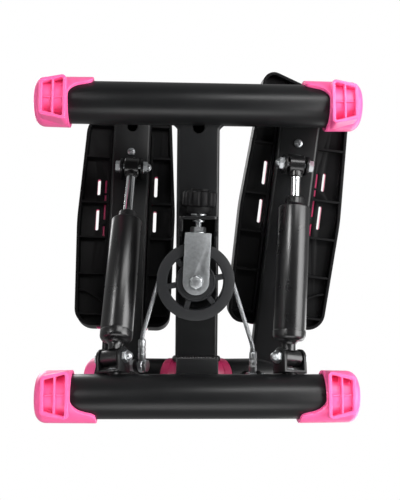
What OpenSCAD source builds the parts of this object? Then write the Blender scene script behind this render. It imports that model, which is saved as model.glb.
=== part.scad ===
/* [Base] */
// Overall width across the front end caps
base_w = 384; // [374:1:400]
// Overall width across the rear end caps
rear_w = 364; // [358:1:372]
// Distance between the centre lines of the two base tubes
base_l = 340; // [336:1:344]
// Outside diameter of the base tubes
tube_d = 50; // [49:0.5:51]
// Height of the base tubes' centre line above the floor
tube_z = 33; // [32:0.5:34]
// Wall of the steel tubes
wall = 2; // [1.5:0.5:2.5]
// Outside diameter of an end cap
cap_d = 59; // [58:0.5:60]
// Length of an end cap along its tube
cap_l = 41; // [39:1:44]
// Length of the tongue that an end cap lays along its tube
cap_tongue_l = 27; // [20:1:32]

/* [Spine] */
// Width of the spine tube
spine_w = 50; // [48:1:52]
// Height of the spine tube
spine_h = 30; // [28:1:32]
// Slope of the spine, rising to the rear
spine_slope = 9; // [8:0.5:10]
// Height of the spine's underside over the pulley
spine_z = 60; // [58:1:62]

/* [Hub] */
// Height where the two hub axes meet
hub_z = 86.6; // [85.6:0.5:88.6]
// Tilt of each hub axis, outer end up, that makes the pedals twist inward as they rise
hub_tilt = 26.4; // [25.9:0.1:26.9]
// Diameter of the stub axles
axle_d = 20; // [18:1:22]
// Outside diameter of a hub tube
hub_d = 48; // [47:0.5:48]

/* [Arms and pedals] */
// Width of an arm tube
arm_w = 50; // [48:1:52]
// Height of an arm tube
arm_h = 25; // [24:0.5:26]
// Length of an arm from its hub axis
arm_l = 350; // [346:1:352]
// Fall of both arms from the hub to the toes when they are level with each other
arm_slope = -1.1; // [-1.5:0.1:-0.8]
// Outward splay of both arms when they are level with each other
arm_splay = 2.4; // [2:0.1:3]
// How far the right arm stands above the level place, and the left arm below it
rest_swing = 9; // [0:0.5:9]
// Width of a pedal at its widest
pedal_w = 130; // [124:1:134]
// Thickness of a pedal's plastic
pedal_t = 4; // [3:0.5:5]

/* [Cylinders] */
// Outside diameter of a hydraulic cylinder
cyl_d = 38; // [36:0.5:39]
// Distance from the lower pin to the top of a cylinder's tube
cyl_l = 179; // [177:1:182]
// Diameter of a piston rod
rod_d = 12; // [11:0.5:13]
// Length of a piston rod from its eye to its piston
rod_l = 150; // [146:1:152]

/* [Pulley and cable] */
// Diameter of the pulley over its rims
pulley_d = 90; // [88:1:90]
// Diameter of the wire rope
cable_d = 5; // [4:0.5:5]
// Distance of the pulley's middle plane below the spine
pulley_drop = 20.5; // [20:0.5:22]
// Angle by which the fork hangs out of line with the spine
fork_yaw = 2.4; // [0:0.1:2.5]
// Diameter of the height knob
knob_d = 40; // [36:1:40]

/* [Hidden] */
$fn = 64;
// Clearance of a running fit, on the radius
run_gap = 0.05;
// Clearance between neighbours that move past each other
part_gap = 0.5;
pink = "hotpink";
black_steel = [0.09, 0.09, 0.1];
black_plastic = [0.12, 0.12, 0.13];
zinc = [0.78, 0.78, 0.8];
chrome = [0.85, 0.86, 0.88];

// Places along the machine: the toes point to -Y and the hub is at the rear.
// The base sits a little to the rear of the middle, because the toes reach past the front tube
y_mid = 16.38;
front_y = y_mid - base_l / 2;
rear_y = y_mid + base_l / 2;
hub_y = rear_y - 17;
hub = [0, hub_y, hub_z];
hub_axis = [cos(hub_tilt), 0, sin(hub_tilt)];
pulley_y = hub_y - 117;
tube_r = tube_d / 2;

// Stations along a hub axis, measured from where the two axes meet
block_u = 15.2;
block_half_l = 25;
flange_u = block_u + part_gap;
hub_u0 = 37;
hub_u1 = 128;
retainer_u = 130.8;
cap_u1 = 145;
arm_u = 103;
hub_r = hub_d / 2;
hub_bore_r = hub_r - 2.5;

// The arm's frame: X outward, Y to the heel, Z up, with its origin on the hub axis
arm_root = hub + arm_u * hub_axis;
upper_rise = 19.8;
upper_pin_arm = [-2.5, -267.5, -arm_h / 2 - upper_rise];
pin_r = 4;
screw_ys = [-110, -295.7];

// The rope's eye on the lug, in the hub's frame: X to the rear, Y up, Z along the axis
lug_at = [-9.2, -46];
lug_u0 = 53.3;
lug_t = 5;
eye_t = 6;
eye_u = lug_u0 - eye_t / 2;
eye_r = 8;
ferrule_l = 24;
groove_r = pulley_d / 2 - 4;
// The web of the knob's bracket along the spine, where the fork's bolt goes through
web_t = 3.5;
web_y = -72 - web_t / 2;

function unit(v) = v / norm(v);
function turned(v, k, a) = v * cos(a) + cross(k, v) * sin(a) + k * (k * v) * (1 - cos(a));
function turned_x(v, a) = turned(v, [1, 0, 0], a);
function turned_z(v, a) = turned(v, [0, 0, 1], a);
// A place on the left side after the arm swings up by the angle a
function swung(p, a) = hub + turned(p - hub, -hub_axis, a);
// A place given in the left arm's frame, in the machine's frame with the arm level
function arm_place(p) = arm_root + turned_z(turned_x(p, -arm_slope), arm_splay);
// The arm's sideways direction after it swings up by the angle a
function arm_side(a) = turned(turned_z([1, 0, 0], arm_splay), -hub_axis, a);
// Swing of a side's arm above the level place: the right one is up and the left one is down
function swing_of(side) = side < 0 ? rest_swing : -rest_swing;

// The cylinders' pins: the lower one is fixed, and the upper one swings with the arm.
// The left lower pin stands a little farther out than the right one
function lower_pin(side) = [side < 0 ? 95.5 : 104.3, hub_y - 26, 40];
function upper_pin_at(a) = swung(arm_place(upper_pin_arm), a);
function way_up(side, a) = unit(upper_pin_at(a) - lower_pin(side));
// The cylinder's direction where the machine rests
function cyl_dir(side) = way_up(side, swing_of(side));
// The lower pin lies square to the cylinder and to the way its upper end moves
function lower_axis(side) = unit(cross(cross(-hub_axis, upper_pin_at(0) - hub), way_up(side, 0)));

// The rope's eye on the left side
function eye_at(a) = hub + turned(
    hub_axis * eye_u + [0, lug_at[0], 0] + lug_at[1] * [-sin(hub_tilt), 0, cos(hub_tilt)], -hub_axis, a);
pulley_o = [0, pulley_y, spine_z]
    + turned_x([0, web_y, -pulley_drop] + turned_z([0, -web_y, 0], fork_yaw), spine_slope);
function in_pulley(p) = turned_z(turned_x(p - pulley_o, -spine_slope), -fork_yaw);
// Angle on the groove, from the side towards the front, where a run leaves the pulley
function leave_angle(q) = atan2(q[1], abs(q[0])) - acos(groove_r / norm([q[0], q[1]]));

// Puts the left side's shape in place on the side that is asked for
module on_side(side) {
    mirror([side < 0 ? 1 : 0, 0, 0])
        children();
}

// A frame at p with its Z along z_dir and its X as near x_hint as can be
module frame_at(p, z_dir, x_hint) {
    z = unit(z_dir);
    x = unit(x_hint - (x_hint * z) * z);
    y = cross(z, x);
    multmatrix([
        [x[0], y[0], z[0], p[0]],
        [x[1], y[1], z[1], p[1]],
        [x[2], y[2], z[2], p[2]],
        [0, 0, 0, 1]
    ])
        children();
}

module swing(a) {
    translate(hub)
        rotate(a = a, v = -hub_axis)
            translate(-hub)
                children();
}

module on_arm(a) {
    swing(a)
        translate(arm_root)
            rotate([0, 0, arm_splay])
                rotate([-arm_slope, 0, 0])
                    children();
}

module on_hub(a) {
    frame_at(hub, hub_axis, [0, 1, 0])
        rotate([0, 0, -a])
            children();
}

module on_spine() {
    translate([0, pulley_y, spine_z])
        rotate([spine_slope, 0, 0])
            children();
}

module on_pulley() {
    on_spine()
        translate([0, web_y, -pulley_drop])
            rotate([0, 0, fork_yaw])
                translate([0, -web_y, 0])
                    children();
}

// A cylinder's frame: the origin on its lower pin, Z along the rod, X along the pin
module on_cylinder(side) {
    frame_at(lower_pin(side), cyl_dir(side), lower_axis(side))
        children();
}

module box(from, to) {
    translate(from)
        cube(to - from);
}

module rod_z(r, z0, z1) {
    translate([0, 0, z0])
        cylinder(r = r, h = z1 - z0);
}

module ring_z(r_out, r_in, z0, z1) {
    difference() {
        rod_z(r_out, z0, z1);
        rod_z(r_in, z0 - 1, z1 + 1);
    }
}

module rod_x(r, x0, x1) {
    rotate([0, 90, 0])
        rod_z(r, x0, x1);
}

module hex_z(across, z0, z1) {
    translate([0, 0, z0])
        cylinder(d = across / cos(30), h = z1 - z0, $fn = 6);
}

module tube_solid(y, r) {
    translate([0, y, tube_z])
        rod_x(r, -base_w, base_w);
}

// Base tubes
module base_tube(y, w) {
    half = w / 2 - 8;
    color(black_steel)
        translate([0, y, tube_z])
            difference() {
                rod_x(tube_r, -half, half);
                rod_x(tube_r - wall, -half - 1, half + 1);
            }
}

// An end cap for the left front: a rounded sleeve, a tongue on the tube's outer side and a foot
module end_cap_shape(w) {
    r = cap_d / 2;
    round_r = 9;
    x1 = w / 2;
    x0 = x1 - cap_l;
    tongue_r = r - 0.2;
    difference() {
        union() {
            translate([x0, 0, tube_z])
                rotate([0, 90, 0])
                    rotate_extrude() {
                        square([r - round_r, cap_l]);
                        square([r, cap_l - round_r]);
                        translate([r - round_r, cap_l - round_r])
                            circle(r = round_r);
                    }
            intersection() {
                translate([0, 0, tube_z])
                    rod_x(tongue_r, x0 - cap_tongue_l, x0 + 2);
                box([x0 - cap_tongue_l, -tongue_r, tube_z - 20], [x0 + 2, -11, tube_z + 20]);
            }
            translate([0, 3, 0])
                end_cap_foot([x0 + 4, x1 - 9]);
        }
        translate([0, 0, tube_z])
            rod_x(tube_r, 0, x1 - 8);
    }
}

// The foot: a frame and a cross of ribs that stand down from the round sleeve
module end_cap_foot(xs) {
    half = 25;
    frame_t = 4;
    rib_t = 2.5;
    win_x = (xs[1] - xs[0] - 2 * frame_t - rib_t) / 2;
    win_y = half - frame_t - rib_t / 2;
    difference() {
        box([xs[0], -half, 0], [xs[1], half, 20]);
        for (i = [0, 1], j = [0, 1])
            translate([xs[0] + frame_t + i * (win_x + rib_t), -half + frame_t + j * (win_y + rib_t), -1])
                cube([win_x, win_y, 22]);
    }
}

module end_cap(side, y, w, outer) {
    color(pink)
        on_side(side)
            translate([0, y, 0])
                mirror([0, outer < 0 ? 0 : 1, 0])
                    end_cap_shape(w);
}

// Spine: a rectangular tube from the front base tube up to the hub block
module spine_beam() {
    y0 = -210;
    drain_d = 14;
    color(black_steel)
        difference() {
            on_spine()
                difference() {
                    box([-spine_w / 2, y0, 0], [spine_w / 2, 110, spine_h]);
                    box([-spine_w / 2 + wall, y0 - 1, wall], [spine_w / 2 - wall, 111, spine_h - wall]);
                    translate([0, -180, -1])
                        cylinder(d = drain_d, h = wall + 2);
                }
            tube_solid(front_y, tube_r);
            box([-spine_w, hub_y - block_half_l, 0], [spine_w, hub_y + 60, 2 * hub_z]);
        }
}

// Half the width of the hub block at a height, where its side is square to the hub axis
function block_half(z) = (block_u - (z - hub_z) * sin(hub_tilt)) / cos(hub_tilt);

// Hub block: it stands on the rear base tube and holds both stub axles
module hub_block() {
    half = 24.5;
    z0 = 52;
    z1 = hub_z + 19;
    z_bend = hub_z - (half * cos(hub_tilt) - block_u) / sin(hub_tilt);
    top = block_half(z1);
    color(black_steel)
        difference() {
            translate([0, hub_y + block_half_l, 0])
                rotate([90, 0, 0])
                    linear_extrude(2 * block_half_l)
                        polygon([
                            [-half, z0], [half, z0], [half, z_bend], [top, z1], [-top, z1], [-half, z_bend]
                        ]);
            tube_solid(rear_y, tube_r);
        }
}

module stub_axle(side) {
    color(zinc)
        on_side(side)
            on_hub(0)
                rod_z(axle_d / 2, block_u, retainer_u);
}

// A washer and a bolt head on the outer end of each stub axle
module axle_retainers() {
    color(zinc)
        for (side = [-1, 1])
            on_side(side)
                on_hub(0) {
                    rod_z(14, retainer_u, retainer_u + 2);
                    hex_z(16, retainer_u + 2, retainer_u + 8);
                }
}

// A U bracket under the spine that holds the adjusting bolt: its legs step back clear of the pulley
module knob_bracket() {
    half = 22;
    plate = web_t;
    y0 = web_y - web_t / 2;
    drop = 36;
    corner = 6;
    color(black_steel)
        on_spine()
            difference() {
                union() {
                    box([-half, y0, -drop + corner], [half, y0 + plate, 0]);
                    box([-half + corner, y0, -drop], [half - corner, y0 + plate, -drop + corner]);
                    for (x = [-half + corner, half - corner])
                        translate([x, y0, -drop + corner])
                            rotate([-90, 0, 0])
                                cylinder(r = corner, h = plate);
                    for (x = [-half, half - plate])
                        translate([x, 0, 0])
                            rotate([90, 0, 90])
                                linear_extrude(plate)
                                    polygon([
                                        [y0, 0], [y0, -drop + corner], [-58, -drop + corner],
                                        [-52, -11], [-34, -9], [-34, 0]
                                    ]);
                }
                translate([0, y0 - 1, -pulley_drop])
                    rotate([-90, 0, 0])
                        cylinder(r = pin_r + part_gap, h = plate + 2);
            }
}

// The frame of a lower bracket: the origin on the pin, X along it, Z towards the base tube
module on_bracket(side) {
    p = lower_pin(side);
    x = lower_axis(side);
    z = unit(cross(x, cross([0, rear_y - p[1], tube_z - p[2]], x)));
    y = cross(z, x);
    multmatrix([
        [x[0], y[0], z[0], p[0]],
        [x[1], y[1], z[1], p[1]],
        [x[2], y[2], z[2], p[2]],
        [0, 0, 0, 1]
    ])
        children();
}

// The cylinder's lower eye and the cheeks beside it, along the pin from the inner end to the outer one
eye_xs = [-9.5, 13.5];
cheek_xs = [-10.3, 14.3];
cheek_t = 3.2;
cheek_r = 11.5;
base_in = 14.5;

// A U bracket on the rear base tube that holds a cylinder's lower eye
module cylinder_bracket(side) {
    color(black_steel)
        on_side(side)
            difference() {
                on_bracket(side) {
                    bracket_cheek(cheek_xs[0] - cheek_t, base_in + cheek_t);
                    bracket_cheek(cheek_xs[1], base_in + cheek_t);
                    box(
                        [cheek_xs[0] - cheek_t, -cheek_r, base_in],
                        [cheek_xs[1] + cheek_t, cheek_r, base_in + cheek_t]
                    );
                    translate([(cheek_xs[0] + cheek_xs[1]) / 2, 0, 0])
                        rod_z(9, base_in + cheek_t - 1, 40);
                }
                tube_solid(rear_y, tube_r);
                on_bracket(side)
                    rod_x(pin_r, -40, 40);
            }
}

module bracket_cheek(x, reach) {
    box([x, -cheek_r, 0], [x + cheek_t, cheek_r, reach]);
    rod_x(cheek_r, x, x + cheek_t);
}

// The low head of the bolt that holds each lower bracket to the base tube
module bracket_bolts() {
    color(zinc)
        for (side = [-1, 1])
            on_side(side)
                on_bracket(side)
                    translate([(cheek_xs[0] + cheek_xs[1]) / 2, 0, 0])
                        hex_z(13, base_in - 2.2, base_in);
}

// Pins with a head on the outer end and a domed nut on the inner end
module lower_pins() {
    dome_r = 5.8;
    head_t = 5;
    x0 = cheek_xs[0] - cheek_t;
    x1 = cheek_xs[1] + cheek_t;
    color(zinc)
        for (side = [-1, 1])
            on_side(side)
                on_bracket(side) {
                    rod_x(pin_r, x0, x1);
                    rotate([0, 90, 0]) {
                        hex_z(13, x1, x1 + head_t);
                        hex_z(13, x0 - head_t, x0);
                    }
                    translate([x0 - head_t, 0, 0])
                        rotate([0, -90, 0])
                            intersection() {
                                sphere(r = dome_r);
                                rod_z(dome_r + 1, 0, dome_r);
                            }
                }
}

// Arm: a rectangular tube coped to its hub tube, with a drain hole under its toe end
module arm_tube(side) {
    drain_d = 14;
    drain_y = -332;
    color(black_steel)
        on_side(side)
            difference() {
                on_arm(swing_of(side))
                    difference() {
                        box([-arm_w / 2, -arm_l, -arm_h / 2], [arm_w / 2, 0, arm_h / 2]);
                        box(
                            [-arm_w / 2 + wall, -arm_l - 1, -arm_h / 2 + wall],
                            [arm_w / 2 - wall, 1, arm_h / 2 - wall]
                        );
                        for (y = screw_ys)
                            translate([0, y, -arm_h])
                                cylinder(r = pin_r, h = 2 * arm_h);
                        translate([0, drain_y, -arm_h])
                            cylinder(d = drain_d, h = arm_h);
                    }
                on_hub(0)
                    rod_z(hub_r, hub_u0, cap_u1 + 10);
            }
}

// A plastic plug that closes the toe end of an arm
module arm_plug(side) {
    plug_l = 8;
    lip_t = 2.5;
    color(black_plastic)
        on_side(side)
            on_arm(swing_of(side)) {
                box(
                    [-arm_w / 2 + wall, -arm_l, -arm_h / 2 + wall],
                    [arm_w / 2 - wall, -arm_l + plug_l, arm_h / 2 - wall]
                );
                box([-arm_w / 2, -arm_l - lip_t, -arm_h / 2], [arm_w / 2, -arm_l, arm_h / 2]);
            }
}

module arm_hub(side) {
    color(black_steel)
        on_side(side)
            on_hub(0)
                ring_z(hub_r, hub_bore_r, hub_u0, hub_u1);
}

// Two plastic bushes: the inner one has a long collar between the arm's hub and the hub block
module hub_bushes(side) {
    collar_r = hub_r + 0.6;
    bore_r = axle_d / 2 + run_gap;
    color(pink)
        on_side(side)
            on_hub(0)
                difference() {
                    union() {
                        rod_z(collar_r, flange_u, hub_u0);
                        rod_z(hub_bore_r, hub_u0 - 1, hub_u0 + 25);
                        rod_z(hub_bore_r, hub_u1 - 23, hub_u1);
                        rod_z(hub_bore_r - 1.5, hub_u1 - 1, retainer_u - part_gap);
                    }
                    rod_z(bore_r, 0, cap_u1);
                }
}

module hub_cap(side) {
    skin = 3;
    round_r = 5;
    color(pink)
        on_side(side)
            on_hub(0)
                translate([0, 0, hub_u1])
                    difference() {
                        rotate_extrude() {
                            square([hub_r - round_r, cap_u1 - hub_u1]);
                            square([hub_r, cap_u1 - hub_u1 - round_r]);
                            translate([hub_r - round_r, cap_u1 - hub_u1 - round_r])
                                circle(r = round_r);
                        }
                        rod_z(hub_r - skin, -1, cap_u1 - hub_u1 - skin);
                    }
}

// A U bracket under the arm for the rod's eye
module upper_bracket(side) {
    x_in = 11.5;
    plate = 3;
    half_y = 11;
    color(black_steel)
        on_side(side)
            on_arm(swing_of(side))
                translate(upper_pin_arm)
                    difference() {
                        union() {
                            translate([0, 0, upper_rise - plate])
                                box([-x_in - plate, -half_y, 0], [x_in + plate, half_y, plate]);
                            for (x = [-x_in - plate, x_in]) {
                                box([x, -half_y, 0], [x + plate, half_y, upper_rise - 1]);
                                rod_x(half_y, x, x + plate);
                            }
                        }
                        rod_x(pin_r, -40, 40);
                    }
}

module upper_pin(side) {
    color(zinc)
        on_side(side)
            on_arm(swing_of(side))
                translate(upper_pin_arm) {
                    rod_x(pin_r, -14.5, 14.5);
                    rotate([0, 90, 0]) {
                        hex_z(13, 14.5, 19);
                        hex_z(13, -19, -14.5);
                    }
                }
}

// A plate under the hub tube that carries the end of the rope
module cable_lug(side) {
    lug_r = 9;
    a = swing_of(side);
    color(black_steel)
        on_side(side)
            on_hub(a)
                difference() {
                    translate([0, 0, lug_u0])
                        linear_extrude(lug_t)
                            difference() {
                                union() {
                                    translate(lug_at)
                                        circle(r = lug_r);
                                    rotate(atan2(lug_at[1], lug_at[0]))
                                        translate([0, -lug_r])
                                            square([norm(lug_at), 2 * lug_r]);
                                }
                                translate(lug_at)
                                    circle(r = pin_r);
                            }
                    rod_z(hub_r, hub_u0, hub_u1);
                }
}

module cable_bolt(side) {
    head_u = lug_u0 - eye_t;
    nut_u = lug_u0 + lug_t;
    color(zinc)
        on_side(side)
            on_hub(swing_of(side))
                translate([lug_at[0], lug_at[1], 0]) {
                    rod_z(pin_r, head_u, nut_u);
                    hex_z(13, head_u - 4, head_u);
                    hex_z(13, nut_u, nut_u + 6);
                }
}

// The pedal's outline in the arm's frame: corner places with their radii, inner side at -X
heel_y = -65;
toe_y = -387;
pedal_corners = [
    [-pedal_w / 2 + 6, heel_y, 18], [pedal_w / 2 - 2, heel_y, 22], [pedal_w / 2 + 3, heel_y - 140, 300],
    [pedal_w / 2 - 4, toe_y + 35, 34], [15 - pedal_w / 2, toe_y, 14], [4 - pedal_w / 2, heel_y - 150, 300]
];
arc_steps = 6;

function corner_at(c, i) = [c[i][0], c[i][1]];
// Points of the arc that rounds one corner
function corner_arc(c, i, inset) =
    let (n = len(c))
    let (p = corner_at(c, i))
    let (v0 = unit(corner_at(c, (i + n - 1) % n) - p))
    let (v1 = unit(corner_at(c, (i + 1) % n) - p))
    let (half = acos(v0 * v1) / 2)
    let (centre = p + unit(v0 + v1) * c[i][2] / sin(half))
    let (r = c[i][2] - inset)
    let (mid = atan2(-(v0 + v1)[1], -(v0 + v1)[0]))
    let (sweep = 90 - half)
    [for (k = [0:arc_steps])
        let (a = mid + sweep * (1 - 2 * k / arc_steps))
        centre + r * [cos(a), sin(a)]];

module pedal_outline(inset) {
    polygon([for (i = [0:len(pedal_corners) - 1]) each corner_arc(pedal_corners, i, inset)]);
}

// Slots through the pedal: two on each side of the arm
module pedal_slots(z0, z1) {
    slot_w = 4;
    for (at = [[-34.1, -272, -242], [-34.1, -223, -193], [42.3, -265, -242], [42.3, -223, -193]])
        box([at[0] - slot_w / 2, at[1], z0], [at[0] + slot_w / 2, at[2], z1]);
}

pedal_z0 = arm_h / 2;
pedal_rim_z = pedal_z0 + 26;
pedal_skirt_z = pedal_z0 - 9;

// Pedal: a tray with a rim, a skirt and ribs under it that straddle the arm
module pedal(side) {
    rib_ys = [-80, -133, -182, -230, -294, -340];
    rib_t = 2.5;
    color(black_plastic)
        on_side(side)
            on_arm(swing_of(side))
                difference() {
                    union() {
                        translate([0, 0, pedal_z0])
                            linear_extrude(pedal_t)
                                pedal_outline(0);
                        translate([0, 0, pedal_skirt_z])
                            linear_extrude(pedal_rim_z - pedal_skirt_z)
                                difference() {
                                    pedal_outline(0);
                                    pedal_outline(pedal_t);
                                }
                        intersection() {
                            for (y = rib_ys)
                                box([-pedal_w, y, pedal_skirt_z], [pedal_w, y + rib_t, pedal_z0 + 1]);
                            translate([0, 0, pedal_skirt_z])
                                linear_extrude(pedal_z0 + 1 - pedal_skirt_z)
                                    pedal_outline(pedal_t / 2);
                        }
                        for (x = [-arm_w / 2 - 4, arm_w / 2 + 1])
                            box([x, 20 - arm_l, pedal_skirt_z], [x + 3, heel_y - 15, pedal_z0 + 1]);
                    }
                    box([-arm_w / 2 - 1, toe_y, -arm_h], [arm_w / 2 + 1, heel_y + 1, pedal_z0]);
                    pedal_slots(-arm_h, 3 * arm_h);
                    for (y = screw_ys)
                        translate([0, y, 0])
                            cylinder(r = pin_r, h = 3 * arm_h);
                }
}

// The moulded grip mat that lies in the tray
module pedal_mat(side) {
    mat_t = 5;
    mat_gap = 0.4;
    z0 = pedal_z0 + pedal_t;
    color(pink)
        on_side(side)
            on_arm(swing_of(side))
                difference() {
                    translate([0, 0, z0])
                        linear_extrude(mat_t)
                            pedal_outline(pedal_t + mat_gap);
                    pedal_slots(z0 - 1, z0 + 2 * mat_t);
                }
}

module pedal_screws(side) {
    z_top = pedal_z0 + pedal_t;
    color(zinc)
        on_side(side)
            on_arm(swing_of(side))
                for (y = screw_ys)
                    translate([0, y, 0]) {
                        rod_z(pin_r, -arm_h / 2, z_top);
                        rod_z(5.5, -arm_h / 2 - 3, -arm_h / 2);
                    }
}

// Hydraulic cylinder: a closed tube on a neck that leads to its lower eye
module cylinder_tube(side) {
    r = cyl_d / 2;
    foot_z = 20;
    floor_t = 7;
    round_r = 5;
    eye_out = 10;
    neck_r = 8;
    neck_z = cheek_r + 1;
    color(black_steel)
        on_side(side)
            difference() {
                on_cylinder(side)
                    difference() {
                        union() {
                            translate([0, 0, foot_z])
                                rotate_extrude() {
                                    square([r - round_r, round_r + 1]);
                                    translate([r - round_r, round_r])
                                        circle(r = round_r);
                                }
                            rod_z(r, foot_z + round_r, cyl_l);
                            rod_z(neck_r, neck_z, foot_z + 1);
                            intersection() {
                                rod_z(neck_r, 0, neck_z);
                                box([eye_xs[0], -neck_r, 0], [neck_r, neck_r, neck_z]);
                            }
                            rod_x(eye_out, eye_xs[0], eye_xs[1]);
                        }
                        rod_z(r - wall, foot_z + floor_t, cyl_l + 1);
                    }
                on_bracket(side)
                    rod_x(pin_r + run_gap, -40, 40);
            }
}

// The gland that closes a cylinder round its rod
module cylinder_gland(side) {
    r = cyl_d / 2;
    plug_l = 12;
    collar_l = 13;
    color(black_steel)
        on_side(side)
            on_cylinder(side)
                difference() {
                    union() {
                        rod_z(r - wall, cyl_l - plug_l, cyl_l);
                        rod_z(r - 1, cyl_l, cyl_l + 2.5);
                        rod_z(11.3, cyl_l + 2, cyl_l + collar_l);
                    }
                    rod_z(rod_d / 2 + run_gap, 0, 2 * cyl_l);
                }
}

rod_eye_r = 12;
rod_eye_half = 9;
rod_eye_bore = 9;
rod_neck = 16;

// The upper eye's frame: the origin on the upper pin, X along it, Z away from the cylinder
module on_rod_eye(side) {
    a = swing_of(side);
    frame_at(upper_pin_at(a), cyl_dir(side), arm_side(a))
        children();
}

module piston_rod(side) {
    color(chrome)
        on_side(side)
            on_rod_eye(side)
                rod_z(rod_d / 2, -rod_neck - rod_l, -rod_neck);
}

module piston(side) {
    piston_t = 12;
    color(zinc)
        on_side(side)
            on_rod_eye(side)
                rod_z(cyl_d / 2 - wall - run_gap, -rod_neck - rod_l - piston_t, -rod_neck - rod_l);
}

module rod_eye(side) {
    color(black_steel)
        on_side(side)
            on_rod_eye(side)
                difference() {
                    union() {
                        rod_x(rod_eye_r, -rod_eye_half, rod_eye_half);
                        rod_z(8, -rod_neck, 0);
                    }
                    rod_x(rod_eye_bore, -40, 40);
                }
}

module rod_bush(side) {
    color([0.15, 0.15, 0.15])
        on_side(side)
            on_rod_eye(side)
                rotate([0, 90, 0])
                    ring_z(rod_eye_bore, pin_r + 0.5, -rod_eye_half, rod_eye_half);
}

// Fork: a folded strip with two round-ended legs that hold the pulley's axle
fork_gap = 17;
fork_t = 3;
fork_half_w = 15;
fork_y = -56.5;

module pulley_fork() {
    color(zinc)
        on_pulley()
            difference() {
                union() {
                    box(
                        [-fork_half_w, fork_y, -fork_gap / 2 - fork_t],
                        [fork_half_w, fork_y + fork_t, fork_gap / 2 + fork_t]
                    );
                    for (z = [-fork_gap / 2 - fork_t, fork_gap / 2]) {
                        box([-fork_half_w, fork_y, z], [fork_half_w, 0, z + fork_t]);
                        rod_z(fork_half_w, z, z + fork_t);
                    }
                }
                rod_z(pin_r, -40, 40);
                translate([0, fork_y - 1, 0])
                    rotate([-90, 0, 0])
                        cylinder(r = pin_r + run_gap, h = fork_t + 2);
            }
}

module fork_nut() {
    nut_t = 7;
    color(zinc)
        on_pulley()
            translate([0, fork_y, 0])
                rotate([90, 0, 0])
                    difference() {
                        hex_z(16, 0, nut_t);
                        rod_z(pin_r + run_gap, -1, nut_t + 1);
                    }
}

module pulley_axle() {
    leg_out = fork_gap / 2 + fork_t;
    color(zinc)
        on_pulley() {
            rod_z(pin_r, -leg_out, leg_out);
            hex_z(13, -leg_out - 6, -leg_out);
            hex_z(13, leg_out, leg_out + 4);
        }
}

// Pulley: a grooved rim on six spokes
module pulley_wheel() {
    half_t = 7.2;
    rim_in = 32.5;
    hub_out = 23;
    hub_half = 7.7;
    spoke_w = 6;
    spoke_first = 47;
    bush_r = 7;
    // The groove is wider than the rope, which leaves it at a slant
    seat_r = cable_d / 2 + 2;
    seat_x = seat_r - cable_d / 2 - 0.5;
    flare = 6.8;
    flare_x = pulley_d / 2 + 1 - groove_r;
    color(black_plastic)
        on_pulley()
            difference() {
                union() {
                    ring_z(pulley_d / 2, rim_in, -half_t, half_t);
                    rod_z(hub_out, -hub_half, hub_half);
                    for (i = [0:5])
                        rotate(spoke_first + 60 * i)
                            box(
                                [hub_out - 2, -spoke_w / 2, -half_t + 1],
                                [rim_in + 1, spoke_w / 2, half_t - 1]
                            );
                }
                rod_z(bush_r, -40, 40);
                rotate_extrude()
                    translate([groove_r, 0]) {
                        translate([seat_x, 0])
                            circle(r = seat_r);
                        polygon([[seat_x, -seat_r], [flare_x, -flare], [flare_x, flare], [seat_x, seat_r]]);
                    }
            }
}

module pulley_bush() {
    half = 8;
    color("goldenrod")
        on_pulley()
            ring_z(7, pin_r + run_gap, -half, half);
}

// Knob with flutes round it
module adjust_knob() {
    y0 = -107;
    y1 = -78.5;
    flutes = 12;
    flute_r = 2.2;
    color(black_plastic)
        on_pulley()
            rotate([-90, 0, 0])
                difference() {
                    union() {
                        rod_z(knob_d / 2, y0, y1 - 4);
                        rod_z(knob_d / 2 - 6, y1 - 5, y1);
                    }
                    for (i = [0:flutes - 1])
                        rotate(i * 360 / flutes)
                            translate([knob_d / 2 + 0.9, 0, y0 - 1])
                                cylinder(r = flute_r, h = y1 - y0);
                    rod_z(pin_r, y0 + 8, y1 + 1);
                }
}

// Adjusting bolt with a collar on each side of the bracket's web
module adjust_bolt() {
    web_front = web_y - web_t / 2;
    web_back = web_y + web_t / 2;
    // Room for the bolt's slant
    slant_gap = 0.8;
    color(zinc)
        on_pulley()
            rotate([-90, 0, 0]) {
                rod_z(pin_r, -99, -49);
                rod_z(9, -78.5, web_front - slant_gap);
                rod_z(7, web_back + slant_gap, web_back + 3);
            }
}

// The ferrule on an eye points straight to the front, and rises or falls towards the pulley
function ferrule_way(side) =
    let (to_pulley = pulley_o - eye_at(swing_of(side)))
    unit([0, to_pulley[1], to_pulley[2]]);
// A place in or past a ferrule, at a distance from its eye's middle, in the pulley's frame
function on_ferrule(side, reach) =
    let (p = eye_at(swing_of(side)) + ferrule_way(side) * reach)
    in_pulley([side * p[0], p[1], p[2]]);
// The depth of the rope's end in its ferrule, and where the rope bends past the ferrule
rope_start = eye_r + 6;
rope_bend = eye_r + ferrule_l + 4;

function on_groove(a) = groove_r * [cos(a), sin(a), 0];
arc_from = leave_angle(on_ferrule(1, rope_bend));
arc_to = -180 - leave_angle(on_ferrule(-1, rope_bend));
rope_arcs = 20;
rope_sides = 10;
rope_path = concat(
    [for (reach = [rope_start, rope_bend]) on_ferrule(1, reach)],
    [for (k = [0:rope_arcs]) on_groove(arc_from + (arc_to - arc_from) * k / rope_arcs)],
    [for (reach = [rope_bend, rope_start]) on_ferrule(-1, reach)]
);

// One ring of the rope's skin, square to the path
function rope_ring(i) =
    let (last = len(rope_path) - 1)
    let (along = unit(rope_path[min(i + 1, last)] - rope_path[max(i - 1, 0)]))
    let (side = unit(cross(along, [0, 0, 1])))
    let (up = cross(side, along))
    [for (k = [0:rope_sides - 1])
        let (a = 360 * k / rope_sides)
        rope_path[i] + cable_d / 2 * (cos(a) * side + sin(a) * up)];

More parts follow.
